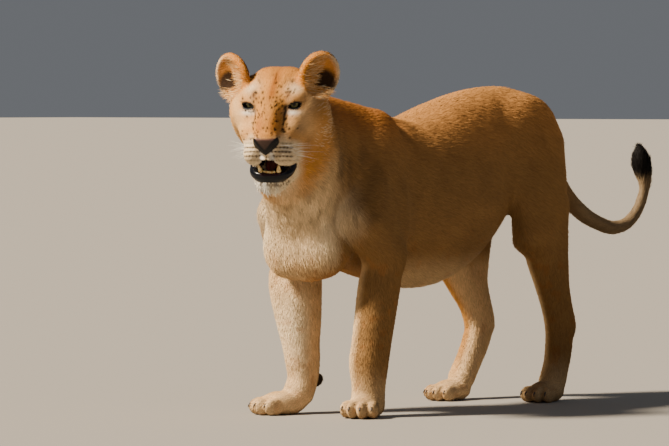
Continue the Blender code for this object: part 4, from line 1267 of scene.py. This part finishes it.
def lieOf(points, normals):
    # the way the hair points: back along the trunk, down the legs, away from the nose on the
    # head, along the tail; made tangent to the skin
    x, y, z = points.T
    d = np.tile(hairWays["flank"], (len(points), 1))
    for zone, weight in (("rump", ramp(x, 0.15, 0.35)),
                         ("chest", ramp(x, -0.44, -0.54) * ramp(z, 0.40, 0.46)),
                         ("legs", ramp(z, 0.48, 0.38) * (1 - bellyness(points))),
                         ("feet", ramp(z, 0.085, 0.060))):
        d = mix(d, np.array(hairWays[zone]), weight)
    noseTip = head.out((0.125, 0, -0.060))
    d = mix(d, unit(points - noseTip), ramp(pastNape(points), -0.12, 0.06))
    for name, s in sides:
        w = earness(points, name)
        q = earCups[name]
        up = unit(points - q.out((0, -s * 0.01, -0.060)))
        inCup = ramp(normals @ q.axes[0], 0.0, 0.5)
        d = mix(d, up, w * (1 - inCup))
        d = mix(d, np.array(q.out((0.2, s * 0.9, 0.45)) - q.origin), w * inCup)
    path = np.array(tailPath + tuftPath[1:])[:, :3]
    onTail = np.nonzero(x > 0.45)[0]
    gap = np.linalg.norm(points[onTail, None] - path[None], axis=2)
    along = np.gradient(path, axis=0)
    weight = np.exp(-(gap / 0.05) ** 2) + 1e-9
    towards = unit((weight[:, :, None] * unit(along)[None]).sum(1))
    part = ramp(x[onTail], 0.47, 0.52)
    d[onTail] = d[onTail] + (towards - d[onTail]) * part[:, None]
    swirl = np.column_stack([noise(points, hairWays["swirlSize"], seed) for seed in (5, 6, 7)])
    d = unit(d) + hairWays["swirl"] * swirl
    return unit(d - (d * normals).sum(1)[:, None] * normals)


def shares(points, triangles, density):
    # each triangle's area times its mean density
    a, b, c = points[triangles].transpose(1, 0, 2)
    return 0.5 * np.linalg.norm(np.cross(b - a, c - a), axis=1) * density[triangles].mean(1)


def scatter(points, normals, triangles, density):
    # roots spread evenly by area times density: equal steps along the running total
    total = np.cumsum(shares(points, triangles, density))
    count = int(total[-1])
    pick = np.searchsorted(total, (np.arange(count) + rng.random(count)) * total[-1] / count)
    pick = np.minimum(pick, len(triangles) - 1)
    a, b = rng.random((2, count))
    over = a + b > 1
    a[over], b[over] = 1 - a[over], 1 - b[over]
    weights = np.column_stack([1 - a - b, a, b])[:, :, None]
    root = (points[triangles[pick]] * weights).sum(1)
    normal = unit((normals[triangles[pick]] * weights).sum(1))
    return root, normal


blades = {
    # corners of each face; painted shade of each corner, roots darker and tip lighter; its place across
    # and along the tuft's patch
    "short": {"faces": [(0, 1, 3), (1, 2, 3), (2, 0, 3), (0, 2, 1)],
              "shade": [0.80, 0.80, 0.95, 1.10],
              "spread": [(0, 0), (1, 0), (0.5, 0.3), (0.5, 1)]},
    "long": {"faces": [(0, 2, 1), (0, 1, 4), (0, 4, 3), (1, 2, 5), (1, 5, 4), (2, 0, 3),
                       (2, 3, 5), (3, 4, 6), (4, 5, 6), (5, 3, 6)],
             "shade": [0.75, 0.75, 0.88, 0.95, 0.95, 1.0, 1.12],
             "spread": [(0, 0), (1, 0), (0.5, 0.2), (0, 0.5), (1, 0.5), (0.5, 0.6), (0.5, 1)]},
    "sink": 0.0010,           # root corners lie this deep in the skin
    "floor": 0.0002,          # no corner is lower
    "patch": 0.003,           # size of a tuft on the unwrap
}


def tuftCorners(kind, root, normal, lie, length, width, lift):
    # a thin closed blade: three root corners, two a little apart across the lie and one raised,
    # running to a tip at length along the lie, lifted off the skin; a long blade has a middle
    # ring and droops back
    across = np.cross(normal, lie)
    w, t = (width / 2)[:, None], (width * 0.28)[:, None]
    low = root - blades["sink"] * normal
    ring = [low - w * across, low + w * across, root + t * normal - 0.4 * w * lie]
    if kind == "long":
        half = root + 0.5 * length[:, None] * (np.cos(lift)[:, None] * lie
                                               + 1.5 * np.sin(lift)[:, None] * normal)
        ring += [half - 0.85 * w * across, half + 0.85 * w * across, half + 0.9 * t * normal]
    tip = root + length[:, None] * (np.cos(lift)[:, None] * lie + np.sin(lift)[:, None] * normal)
    corners = np.stack(ring + [tip], 1)
    corners[:, :, 2] = np.maximum(corners[:, :, 2], blades["floor"])
    return corners


def addTufts(name, kind, root, normal, lie, length, width, lift, colour, uvRoot, material):
    corners = tuftCorners(kind, root, normal, lie, length, width, lift)
    n, m = corners.shape[:2]
    blade = blades[kind]
    faces = (np.arange(n)[:, None, None] * m + np.array(blade["faces"])).reshape(-1, 3)
    mesh = meshFrom(name, corners.reshape(-1, 3), faces)
    # painted shade: each corner's colour is scaled, roots darker and tips lighter, as if the coat shaded
    # its own roots
    shaded = colour[:, None] * np.array(blade["shade"])[None, :, None]
    setColour(mesh, np.clip(shaded.reshape(-1, 3), 0, 1))
    # each tuft is a small patch at its root's place on the unwrap
    patch = uvRoot[:, None] + blades["patch"] * (np.array(blade["spread"])[None] - 0.5)
    uv = mesh.uv_layers.new(name="OFBake")
    index = np.empty(len(mesh.loops), np.int32)
    mesh.loops.foreach_get("vertex_index", index)
    uv.data.foreach_set("uv", np.clip(patch, 0, 1).reshape(-1, 2)[index].astype(np.float32).ravel())
    # shading follows the skin below, so the coat reads as one surface
    wobble = unit(rng.normal(size=(n, 3)))
    soft = unit(normal + 0.22 * wobble + 0.10 * lie)
    mesh.normals_split_custom_set_from_vertices(np.repeat(soft, m, 0).tolist())
    addObject(name, mesh, material)
    print(name, n, "tufts")


def titled(kind, name):
    return kind + name[0].upper() + name[1:]


regions = ("face", "crown", "ears", "neck", "thorax", "flank", "rump", "forelegs", "hindlegs", "tail")


def regionOf(points):
    x, y, z = points.T
    out = np.full(len(points), "thorax", dtype="<U9")
    out[x > -0.14] = "flank"
    out[x > 0.17] = "rump"
    out[(z < 0.42) & (x < -0.26)] = "forelegs"
    out[(z < 0.46) & (x > 0.13)] = "hindlegs"
    out[(x > 0.475) & (z > 0.40)] = "tail"
    ahead = pastNape(points)
    out[(ahead > -0.16) & (z > 0.50)] = "neck"
    out[ahead > 0.0] = "crown"
    out[(ahead > 0.0) & (head.into(points)[:, 0] > -0.05)] = "face"
    for name, s in sides:
        out[earness(points, name) > 0.5] = "ears"
    return out


def aroundAxis(points, origin, axis, ref, length, start=0.0, wide=1.0):
    # cylinder unwrap: u is the turn round the axis, v the way along it
    axis, ref = unit(axis), unit(ref)
    third = np.cross(axis, ref)
    q = points - origin
    turn = np.arctan2(q @ third, q @ ref) / (2 * pi) + 0.5
    return np.column_stack([start + wide * turn, (q @ axis) / length])


def unwrap(points, region):
    if region in ("face", "crown"):
        # polar unwrap round the head's middle: radius is the angle from straight ahead
        q = unit(head.into(points) - (-0.06, 0, -0.04))
        angle = np.arccos(np.clip(q[:, 0], -1, 1)) / pi
        turn = np.arctan2(q[:, 2], q[:, 1])
        uv = 0.5 + 0.48 * (angle * np.array([np.cos(turn), np.sin(turn)])).T
    elif region == "ears":
        uv = np.zeros((len(points), 2))
        for name, s in sides:
            q = earCups[name].into(points)
            mine = np.linalg.norm(q, axis=1) < 0.12
            front = q[:, 0] > -0.004
            uv[mine] = np.column_stack([0.25 + 0.5 * (s > 0) + 1.6 * q[:, 1],
                                        np.where(front, 0.25, 0.75) + 1.6 * q[:, 2]])[mine]
    elif region in ("forelegs", "hindlegs"):
        x0 = -0.40 if region == "forelegs" else 0.37
        left = points[:, 1] < 0
        uv = np.empty((len(points), 2))
        for mine, y0, start in ((left, -0.13, 0.0), (~left, 0.12, 0.5)):
            uv[mine] = aroundAxis(points[mine], (x0, y0, 0), (0, 0, 1), (1, 0, 0), 0.48, start, 0.5)
    elif region == "neck":
        uv = aroundAxis(points, (-0.36, 0, 0.62), (-0.88, -0.14, 0.46), (0, 0, 1), 0.40)
    elif region == "tail":
        uv = aroundAxis(points, (0.45, 0, 0.60), (1, -0.12, 0), (0, 0, 1), 0.52)
    else:
        x0 = {"thorax": -0.62, "flank": -0.15, "rump": 0.16}[region]
        uv = aroundAxis(points, (x0, 0, 0.60), (1, 0, 0), (0, 0, -1), 0.50)
    return 0.01 + 0.98 * np.clip(uv, 0, 1)


coat = {
    # region: length, width, lift in degrees, how many times the tufts cover the skin
    "face": (0.0056, 0.0014, 12, 2.0), "crown": (0.0095, 0.0018, 12, 2.1),
    "ears": (0.0085, 0.0018, 13, 2.2), "neck": (0.0200, 0.0027, 11, 2.6),
    "thorax": (0.0160, 0.0028, 11, 2.0), "flank": (0.0165, 0.0029, 11, 2.0),
    "rump": (0.0155, 0.0028, 11, 2.1), "forelegs": (0.0110, 0.0023, 12, 1.9),
    "hindlegs": (0.0110, 0.0023, 12, 1.9), "tail": (0.0120, 0.0021, 13, 2.2),
    "most": 42000,            # tufts in one piece
}


def growCoat(bare, points, normals, triangles, material):
    region = regionOf(points)
    for name in regions:
        length, width, lift, cover = coat[name]
        wanted = cover / (0.5 * length * width)
        density = wanted * (region == name) * (1 - ramp(bare, 0.15, 0.5)) * (points[:, 2] > 0.004)
        # where the piece would hold too many tufts, they are fewer and larger
        fewer = max(1.0, shares(points, triangles, density).sum() / coat["most"])
        root, normal = scatter(points, normals, triangles, density / fewer)
        lie = lieOf(root, normal)
        n = len(root)
        larger = fewer ** 0.5
        long = length * larger * rng.uniform(0.75, 1.25, n)
        wide = width * larger * rng.uniform(0.8, 1.2, n)
        if name in ("face", "crown"):
            ahead = head.into(root)[:, 0]
            long *= 1 + 0.5 * ramp(ahead, -0.02, -0.12) - 0.30 * ramp(ahead, 0.02, 0.07)
            long *= 0.35 + 0.65 * ramp(rimDistance(root), 0.005, 0.018)
        if name in ("forelegs", "hindlegs"):
            long *= 1 - 0.45 * ramp(root[:, 2], 0.12, 0.05)
        turned = unit(lie + rng.normal(0, 0.17, (n, 1)) * np.cross(normal, lie))
        colour = coatColour(root, normal) * rng.uniform(0.84, 1.16, (n, 1))
        addTufts(titled("coat", name), "short", root, normal, turned, long, wide,
                 radians(lift) * rng.uniform(0.6, 1.3, n), colour, unwrap(root, name),
                 material)


def below(normals, start, full):
    # weight of skin that faces down
    return ramp(normals[:, 2], start, full)


def longWeights(points, normals):
    # where each kind of long hair grows, 0..1 at every point of the skin
    x, y, z = points.T
    local = head.into(points)
    ahead = pastNape(points)
    muzzle = ramp(local[:, 0], -0.02, 0.02)
    weights = {
        "ruff": sum(blob(local, (-0.085, s * 0.105, -0.085), (0.032, 0.045, 0.062)) for s in signs),
        "chin": blob(local, (0.066, -0.006, -0.222), (0.036, 0.044, 0.024)) * below(normals, 0.5, 0.0),
        "throat": ramp(ahead, -0.24, -0.18) * ramp(ahead, 0.075, 0.03) * below(normals, 0.45, 0.0)
                  * ramp(z, 0.50, 0.56) * (1 - muzzle),
        "chest": ramp(x, -0.44, -0.50) * ramp(z, 0.36, 0.42) * ramp(z, 0.66, 0.60)
                 * ramp(normals[:, 0], 0.1, -0.3),
        "belly": bellyness(points) * below(normals, -0.35, -0.75),
        "elbow": ramp(x, -0.36, -0.31) * ramp(x, -0.20, -0.26) * bump(z, 0.44, 0.05)
                 * ramp(normals[:, 0], 0.0, 0.5),
        "thighBack": ramp(x, 0.36, 0.44) * bump(z, 0.56, 0.12) * ramp(normals[:, 0], 0.3, 0.8),
        "tuft": ramp(z, 0.60, 0.64) * ramp(x, 0.86, 0.88),
    }
    return weights


longHair = {
    # kind: region of the unwrap, length, width, lift in degrees, tufts on a square metre
    "ruff": ("face", 0.016, 0.0018, 12, 60000), "chin": ("face", 0.0045, 0.0011, 14, 110000),
    "throat": ("neck", 0.026, 0.0019, 9, 42000), "chest": ("thorax", 0.021, 0.0019, 9, 46000),
    "belly": ("flank", 0.019, 0.0021, 9, 24000), "elbow": ("forelegs", 0.018, 0.0020, 13, 36000),
    "thighBack": ("rump", 0.016, 0.0020, 11, 30000), "tuft": ("tail", 0.024, 0.0024, 10, 190000),
}


def growLongHair(bare, points, normals, triangles, material):
    weights = longWeights(points, normals)
    for name, (region, length, width, lift, density) in longHair.items():
        where = weights[name] * density * (1 - ramp(bare, 0.10, 0.4))
        root, normal = scatter(points, normals, triangles, where)
        n = len(root)
        lie = lieOf(root, normal)
        turned = unit(lie + rng.normal(0, 0.20, (n, 1)) * np.cross(normal, lie))
        streak = 1 + 0.28 * noise(root * (1, 1, 0.25), 0.010, 12)
        colour = coatColour(root, normal) * (streak * rng.uniform(0.85, 1.15, n))[:, None]
        if name == "ruff":
            colour = mix(colour, tints["cream"], np.full(n, 0.5))
        addTufts(titled("long", name), "long", root, normal, turned,
                 length * rng.uniform(0.6, 1.25, n), width * rng.uniform(0.7, 1.2, n),
                 radians(lift) * rng.uniform(0.5, 1.5, n), colour, unwrap(root, region),
                 material)


earHair = {"width": 0.0011,
           "Cross": (0.022, 170000), "Edge": (0.0055, 130000)}     # length, tufts on a square metre


def growEarHair(points, normals, triangles, material):
    # pale hair from each cup's inner wall, across the hollow; short fringe round the edge
    for name, s in sides:
        cup = earCups[name]
        q = cup.into(points)
        w = earness(points, name) > 0.4
        facing = normals @ cup.axes[0]
        radius = cupRadius(q)
        medial = -s * q[:, 1]
        inner = w * ramp(facing, -0.1, 0.2) * ramp(radius, 1.0, 0.85) * ramp(medial, 0.002, 0.018)
        lower = w * ramp(facing, -0.1, 0.2) * ramp(radius, 1.05, 0.9) * ramp(q[:, 2], -0.022, -0.036)
        edge = w * bump(radius, 1.0, 0.12) * ramp(facing, -0.5, 0.0)
        for kind, where in (("Cross", np.maximum(inner, lower)), ("Edge", edge)):
            length, density = earHair[kind]
            root, normal = scatter(points, normals, triangles, where * density)
            n = len(root)
            ahead, side, up = cup.into(root).T
            zero = np.zeros(n)
            if kind == "Edge":
                way = np.column_stack([zero + 0.012, side, up])
            else:
                way = np.array((0.30, s * 0.80, 0.42)) + np.column_stack([zero, zero, 6.0 * up])
            way = unit(way) @ cup.axes + rng.normal(0, 0.16, (n, 3))
            lie = unit(way - 0.75 * (way * normal).sum(1)[:, None] * normal)
            tint = mix(plain("orange", root), tints["pale"], rng.random(n))
            if kind == "Edge":
                tint = mix(tint, tints["cream"], 0.8 * ramp(s * side, -0.010, 0.020))
            colour = tint * rng.uniform(0.75, 1.1, (n, 1))
            addTufts("ear" + kind + name.capitalize(), "long", root, normal, lie,
                     length * rng.uniform(0.6, 1.2, n), earHair["width"] * rng.uniform(0.7, 1.2, n),
                     rng.uniform(0.05, 0.25, n), colour, unwrap(root, "ears"),
                     material)


eyes = {
    "rows": 44, "frontRows": 28, "around": 48,
    "pupil": 0.20, "iris": 0.63,       # angles from the line of sight, radians
    "cornea": 0.0010,                  # how far it stands out
    "turn": 11, "lift": 17,            # she looks this much to her left of the nose, and higher
    "spread": 2,                       # and each eye this much outwards, in degrees
}


def eyeMaterial():
    # wet eye: a clear hard coat over a matt iris gives one sharp highlight
    material, shader = newMaterial("Wet cornea over iris", Roughness=0.30, Specular_IOR_Level=0.1,
                                   Coat_Weight=0.30, Coat_Roughness=0.03)
    colour = addNode(material, "ShaderNodeAttribute", attribute_name="coatColour")
    join(material, colour.outputs["Color"], shader.inputs["Base Color"])
    return material


def ringQuads(rows, around):
    # faces between rings of points that stand one after another
    i = np.arange(rows - 1)[:, None] * around
    j = np.arange(around)[None]
    k = (j + 1) % around
    return np.stack([i + j, i + around + j, i + around + k, i + k], -1).reshape(-1, 4)


def capTriangles(ring, tip):
    # fan from a ring's point numbers to a tip, seen from outside at the first ring
    return np.stack([np.full(len(ring), tip), ring, np.roll(ring, -1)], 1)


def buildEyes():
    # a sphere by polar angle and turn; the cornea adds a bell to the radius
    rows, fine, around = eyes["rows"], eyes["frontRows"], eyes["around"]
    polar = np.append(np.linspace(0.02, 0.75, fine), np.linspace(0.82, pi - 0.05, rows - fine))
    turn = np.arange(around) * 2 * pi / around
    t, a = np.meshgrid(polar, turn, indexing="ij")
    radius = figure["eyeRadius"] + eyes["cornea"] * np.exp(-(t / 0.5) ** 2)
    ball = np.stack([radius * np.cos(t), radius * np.sin(t) * np.cos(a),
                     radius * np.sin(t) * np.sin(a)], -1).reshape(-1, 3)
    ball = np.vstack([ball, [(radius.max(), 0, 0), (-figure["eyeRadius"], 0, 0)]])
    first = np.arange(around)
    faces = (ringQuads(rows, around).tolist() + capTriangles(first, rows * around).tolist()
             + capTriangles(first + (rows - 1) * around, rows * around + 1)[:, [0, 2, 1]].tolist())
    streak = 0.5 + 0.5 * np.sin(a * 23 + 2 * np.sin(a * 7)) * np.sin(a * 11 + t * 9)
    angle = np.append(t.ravel(), [0, 0])         # the two tips are as dark as the pupil
    colour = tints["iris"] + (tints["irisLight"] - tints["iris"]) * np.append(streak, [0, 0])[:, None]
    colour = painted(colour, ("irisInner", ramp(angle, 0.36, 0.22)),
                     ("pupil", ramp(angle, eyes["pupil"] + 0.03, eyes["pupil"])),
                     ("irisEdge", ramp(angle, eyes["iris"] - 0.08, eyes["iris"])))
    material = eyeMaterial()
    for name, s in sides:
        title = titled("eye", name)
        place = head.child(eyeCentre(s), yaw=eyes["turn"] + s * eyes["spread"],
                           pitch=-eyes["lift"])
        mesh = bpy.data.meshes.new(title)
        mesh.from_pydata((place.out(ball) + figure["middle"]).tolist(), [], faces)
        mesh.shade_smooth()
        mesh.update()
        setColour(mesh, colour)
        addObject(title, mesh, material, ("eye_" + name,))
    print("eyes")


def sweep(name, paths, around, place=world):
    # teeth, claws and whiskers: each path is rows of x, y, z, radius; rings of a round profile
    # stand across it and the two ends close to a point
    allPoints, allFaces, base = [], [], 0
    turn = np.arange(around) * 2 * pi / around
    for path in paths:
        path = np.asarray(path, float)
        centre = path[:, :3]
        along = unit(np.gradient(centre, axis=0))
        helper = np.where(np.abs(along[:, 1:2]) < 0.8, [[0.0, 1.0, 0.0]], [[1.0, 0.0, 0.0]])
        u = unit(np.cross(along, helper))
        v = np.cross(along, u)
        rings = centre[:, None] + path[:, 3, None, None] * (
            np.cos(turn)[None, :, None] * u[:, None] + np.sin(turn)[None, :, None] * v[:, None])
        points = np.vstack([rings.reshape(-1, 3), centre[:1], centre[-1:]])
        n = len(path)
        quads = ringQuads(n, around)
        first = np.arange(around)
        start = capTriangles(first, n * around)[:, [0, 2, 1]]
        stop = capTriangles(first + (n - 1) * around, n * around + 1)
        allPoints.append(place.out(points))
        allFaces.append(np.vstack([quads[:, [0, 3, 2]], quads[:, [0, 2, 1]], start, stop]) + base)
        base += len(points)
    return meshFrom(name, np.vstack(allPoints), np.vstack(allFaces))


def toothMaterial():
    # enamel: glossy, with yellow stains
    material, shader = newMaterial("Yellowed enamel", Roughness=0.22, Subsurface_Weight=0.08,
                                   Coat_Weight=0.3, Coat_Roughness=0.08)
    place = addNode(material, "ShaderNodeTexCoord")
    stain = addNode(material, "ShaderNodeTexNoise", {"Vector": place.outputs["Object"]},
                    Scale=180.0, Detail=3.0)                       # stains about 6 mm across
    stainRamp = addNode(material, "ShaderNodeValToRGB", {"Fac": stain.outputs["Fac"]})
    stainRamp.color_ramp.elements[0].color = (*linear("#B08038"), 1)
    stainRamp.color_ramp.elements[1].color = (*linear("#E6CC90"), 1)
    stainRamp.color_ramp.elements[0].position = 0.35
    stainRamp.color_ramp.elements[1].position = 0.62
    join(material, stainRamp.outputs["Color"], shader.inputs["Base Color"])
    return material


teeth = {
    # ahead, side, up and radius from root to tip; an incisor's first two are added to its place
    "canine": [(0.078, 0.0220, -0.184, 0.0066), (0.080, 0.0235, -0.168, 0.0074),
               (0.084, 0.0255, -0.152, 0.0062), (0.087, 0.0275, -0.139, 0.0030),
               (0.0875, 0.0280, -0.1355, 0.0008)],
    "incisor": [(0, 0, -0.172, 0.0024), (0.0006, 0, -0.160, 0.0030),
                (0.0008, 0, -0.1545, 0.0027), (0.0008, 0, -0.1525, 0.0012)],
    "incisors": 6, "apart": 0.0056, "front": 0.089, "arc": 12,
}


def buildTeeth():
    material = toothMaterial()
    for name, s in sides:
        title = titled("canine", name)
        path = smoothRings(np.array(teeth["canine"]) * (1, s, 1, 1), 5)
        path[:, 1] += mouthShift
        addObject(title, sweep(title, [path], 14, head), material)
    # the incisors stand in a shallow arc: ahead falls off with the square of the side
    small = []
    count = teeth["incisors"]
    for side in (np.arange(count) - (count - 1) / 2) * teeth["apart"] + mouthShift:
        ahead = teeth["front"] - teeth["arc"] * side * side
        small.append(smoothRings(np.array(teeth["incisor"]) + (ahead, side, 0, 0), 3))
    addObject("incisors", sweep("incisors", small, 10, head), material)
    print("teeth")


tongue = {"middle": (0.145, 0, -0.046), "half": (0.050, 0.019, 0.010), "groove": 0.45}


def buildTongue():
    # a flattened egg: ahead cos a, side sin a cos b, up sin a sin b, with a groove along its top
    # that deepens with the bell of the side
    rows, around = 28, 32
    a, b = np.meshgrid(np.linspace(0, pi, rows), np.arange(around) * 2 * pi / around, indexing="ij")
    side = np.sin(a) * np.cos(b)
    up = np.sin(a) * np.sin(b)
    up = np.where(up > 0, up * (1 - tongue["groove"] * np.exp(-(side / 0.25) ** 2)), up)
    local = tongue["middle"] + np.array(tongue["half"]) * np.stack([np.cos(a), side, up], -1)
    mesh = meshFrom("tongue", jaw.out(local.reshape(-1, 3)), ringQuads(rows, around))
    work = bmesh.new()
    work.from_mesh(mesh)
    bmesh.ops.remove_doubles(work, verts=work.verts, dist=1e-6)
    bmesh.ops.recalc_face_normals(work, faces=work.faces)
    work.to_mesh(mesh)
    work.free()
    # wet flesh, its rasps drawn 1.5 mm apart
    material, shader = newMaterial("Wet tongue", Roughness=0.35, Subsurface_Weight=0.15,
                                   Base_Color=(*linear("#77403A"), 1))
    place = addNode(material, "ShaderNodeTexCoord")
    rasp = addNode(material, "ShaderNodeTexVoronoi", {"Vector": place.outputs["Object"]}, Scale=650.0)
    relief = addNode(material, "ShaderNodeBump", {"Height": rasp.outputs["Distance"]},
                     Strength=0.5, Distance=0.001)
    join(material, relief.outputs["Normal"], shader.inputs["Normal"])
    addObject("tongue", mesh, material, ("tongue",))
    print("tongue")


# a claw in its toe's place: ahead, side, up and radius from root to tip
clawHook = [(0.022, 0, 0.010, 0.0028), (0.030, 0, 0.008, 0.0026), (0.0345, 0, 0.003, 0.0017),
            (0.0362, 0, -0.003, 0.0005)]


def buildClaws():
    # hooked horn, sheathed: only the tips show between the hairs of each toe
    hook = smoothRings(clawHook)
    paths = [np.column_stack([toe.out(hook[:, :3] * scale), hook[:, 3]])
             for flat, scale, toes in toePlaces() for toe in toes]
    material, shader = newMaterial("Dark claw horn", Roughness=0.35, Base_Color=(*linear("#3A302A"), 1))
    place = addNode(material, "ShaderNodeTexCoord")
    grain = addNode(material, "ShaderNodeTexNoise", {"Vector": place.outputs["Object"]},
                    Scale=900.0)                                   # fibres about 1 mm long
    relief = addNode(material, "ShaderNodeBump", {"Height": grain.outputs["Fac"]},
                     Strength=0.3, Distance=0.0003)
    join(material, relief.outputs["Normal"], shader.inputs["Normal"])
    addObject("claws", sweep("claws", paths, 8), material)
    print("claws")


whiskers = {
    "rows": 4, "inRow": 5,
    # side and ahead a step before the first, the top row's height seen from in front; each its step
    "side": (0.030, 0.0075), "ahead": (0.104, -0.0095), "seen": (-0.108, -0.0085),
    "length": (0.040, 0.078),
    "thick": 0.00045,                  # radius at the root, more than life so that they show
    "droop": (-0.35, 0, -0.25),
}


def buildWhiskers():
    # stiff white bristles in rows on the muzzle, each drooping with the square of its length
    k = whiskers
    paths = []
    t = np.linspace(0, 1, 10)[:, None]
    for s in signs:
        for row, place in np.ndindex(k["rows"], k["inRow"]):
            place = place + 1
            side, ahead = (k[key][0] + k[key][1] * place for key in ("side", "ahead"))
            seen = k["seen"][0] + k["seen"][1] * row
            up = (seen + figure["tiltSin"] * ahead) / figure["tiltCos"]
            size = rng.uniform(*k["length"])
            way = unit((0.25 - 0.16 * place + rng.normal(0, 0.08), s * 1.0,
                        -0.10 - 0.12 * row + rng.normal(0, 0.10)))
            line = (ahead, s * side, up) + size * t * way + np.array(k["droop"]) * size * t ** 2
            paths.append(np.column_stack([head.out(line), k["thick"] * (1 - 0.85 * t)]))
    material, shader = newMaterial("White bristle", Roughness=0.4, Base_Color=(*linear("#F5F0E6"), 1))
    addObject("whiskers", sweep("whiskers", paths, 5), material)
    print("whiskers")


studio = {
    "floorHalf": 150.0, "floor": "#9C968D", "sky": "#DDE2EA", "skyStrength": 0.20,
    # way to the sun, strength, apparent width in degrees, tint; the key comes from the front
    # right of her and is wide and soft
    "suns": {"key": ((-0.66, 0.36, 0.66), 10.5, 8, "#FFF0DA"),
             "fill": ((-0.4, -0.9, 0.5), 0.15, 40, "#DCE6FF")},
}


def buildStudio():
    half = studio["floorHalf"]
    mesh = bpy.data.meshes.new("floor")
    mesh.from_pydata([(-half, -half, 0), (half, -half, 0), (half, half, 0), (-half, half, 0)], [],
                     [(0, 1, 2, 3)])
    material, shader = newMaterial("Grey studio floor", Roughness=0.9,
                                   Base_Color=(*linear(studio["floor"]), 1))
    mesh.materials.append(material)
    inScene("floor", mesh)
    sky = bpy.data.worlds.new("studio")
    sky.use_nodes = True
    background = sky.node_tree.nodes["Background"]
    background.inputs["Color"].default_value = (*linear(studio["sky"]), 1)
    background.inputs["Strength"].default_value = studio["skyStrength"]
    bpy.context.scene.world = sky
    for name, (way, strength, width, tint) in studio["suns"].items():
        sun = bpy.data.lights.new(name, "SUN")
        sun.energy = strength
        sun.angle = radians(width)
        sun.color = tuple(linear(tint))
        light = inScene(name, sun)
        light.rotation_mode = "QUATERNION"
        light.rotation_quaternion = Vector(way).to_track_quat("Z", "Y")


view = {"azimuth": -50, "away": 12.0, "height": 0.87, "aim": (-0.167, 0.199, 0.523),
        "lens": 227.3, "farthest": 400}


def buildCamera():
    turn = radians(view["azimuth"])
    spot = view["away"] * Vector((sin(turn), -cos(turn), 0)) + Vector((0, 0, view["height"]))
    camera = bpy.data.cameras.new("camera")
    camera.lens = view["lens"]
    camera.sensor_width = 36
    camera.clip_end = view["farthest"]
    thing = inScene("camera", camera)
    thing.location = spot + Vector(figure["middle"])
    thing.rotation_mode = "QUATERNION"
    thing.rotation_quaternion = (spot - Vector(view["aim"])).to_track_quat("Z", "Y")
    bpy.context.scene.camera = thing


flesh = [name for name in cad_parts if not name.startswith(("eye_", "tongue"))]

buildCamera()
buildStudio()
body = lionessField()
skin = buildSkin(body)
points, normals, triangles = surfaceArrays(skin)
colours, bare, nose = skinColour(points, normals)
setColour(skin, colours)
setValue(skin, bare, "bare")
setValue(skin, nose, "nose")
addObject("skin", skin, skinMaterial(), flesh)
print("skin done")
fur = furMaterial()
growCoat(bare, points, normals, triangles, fur)
growLongHair(bare, points, normals, triangles, fur)
growEarHair(points, normals, triangles, fur)
buildEyes()
buildTeeth()
buildTongue()
buildClaws()
buildWhiskers()
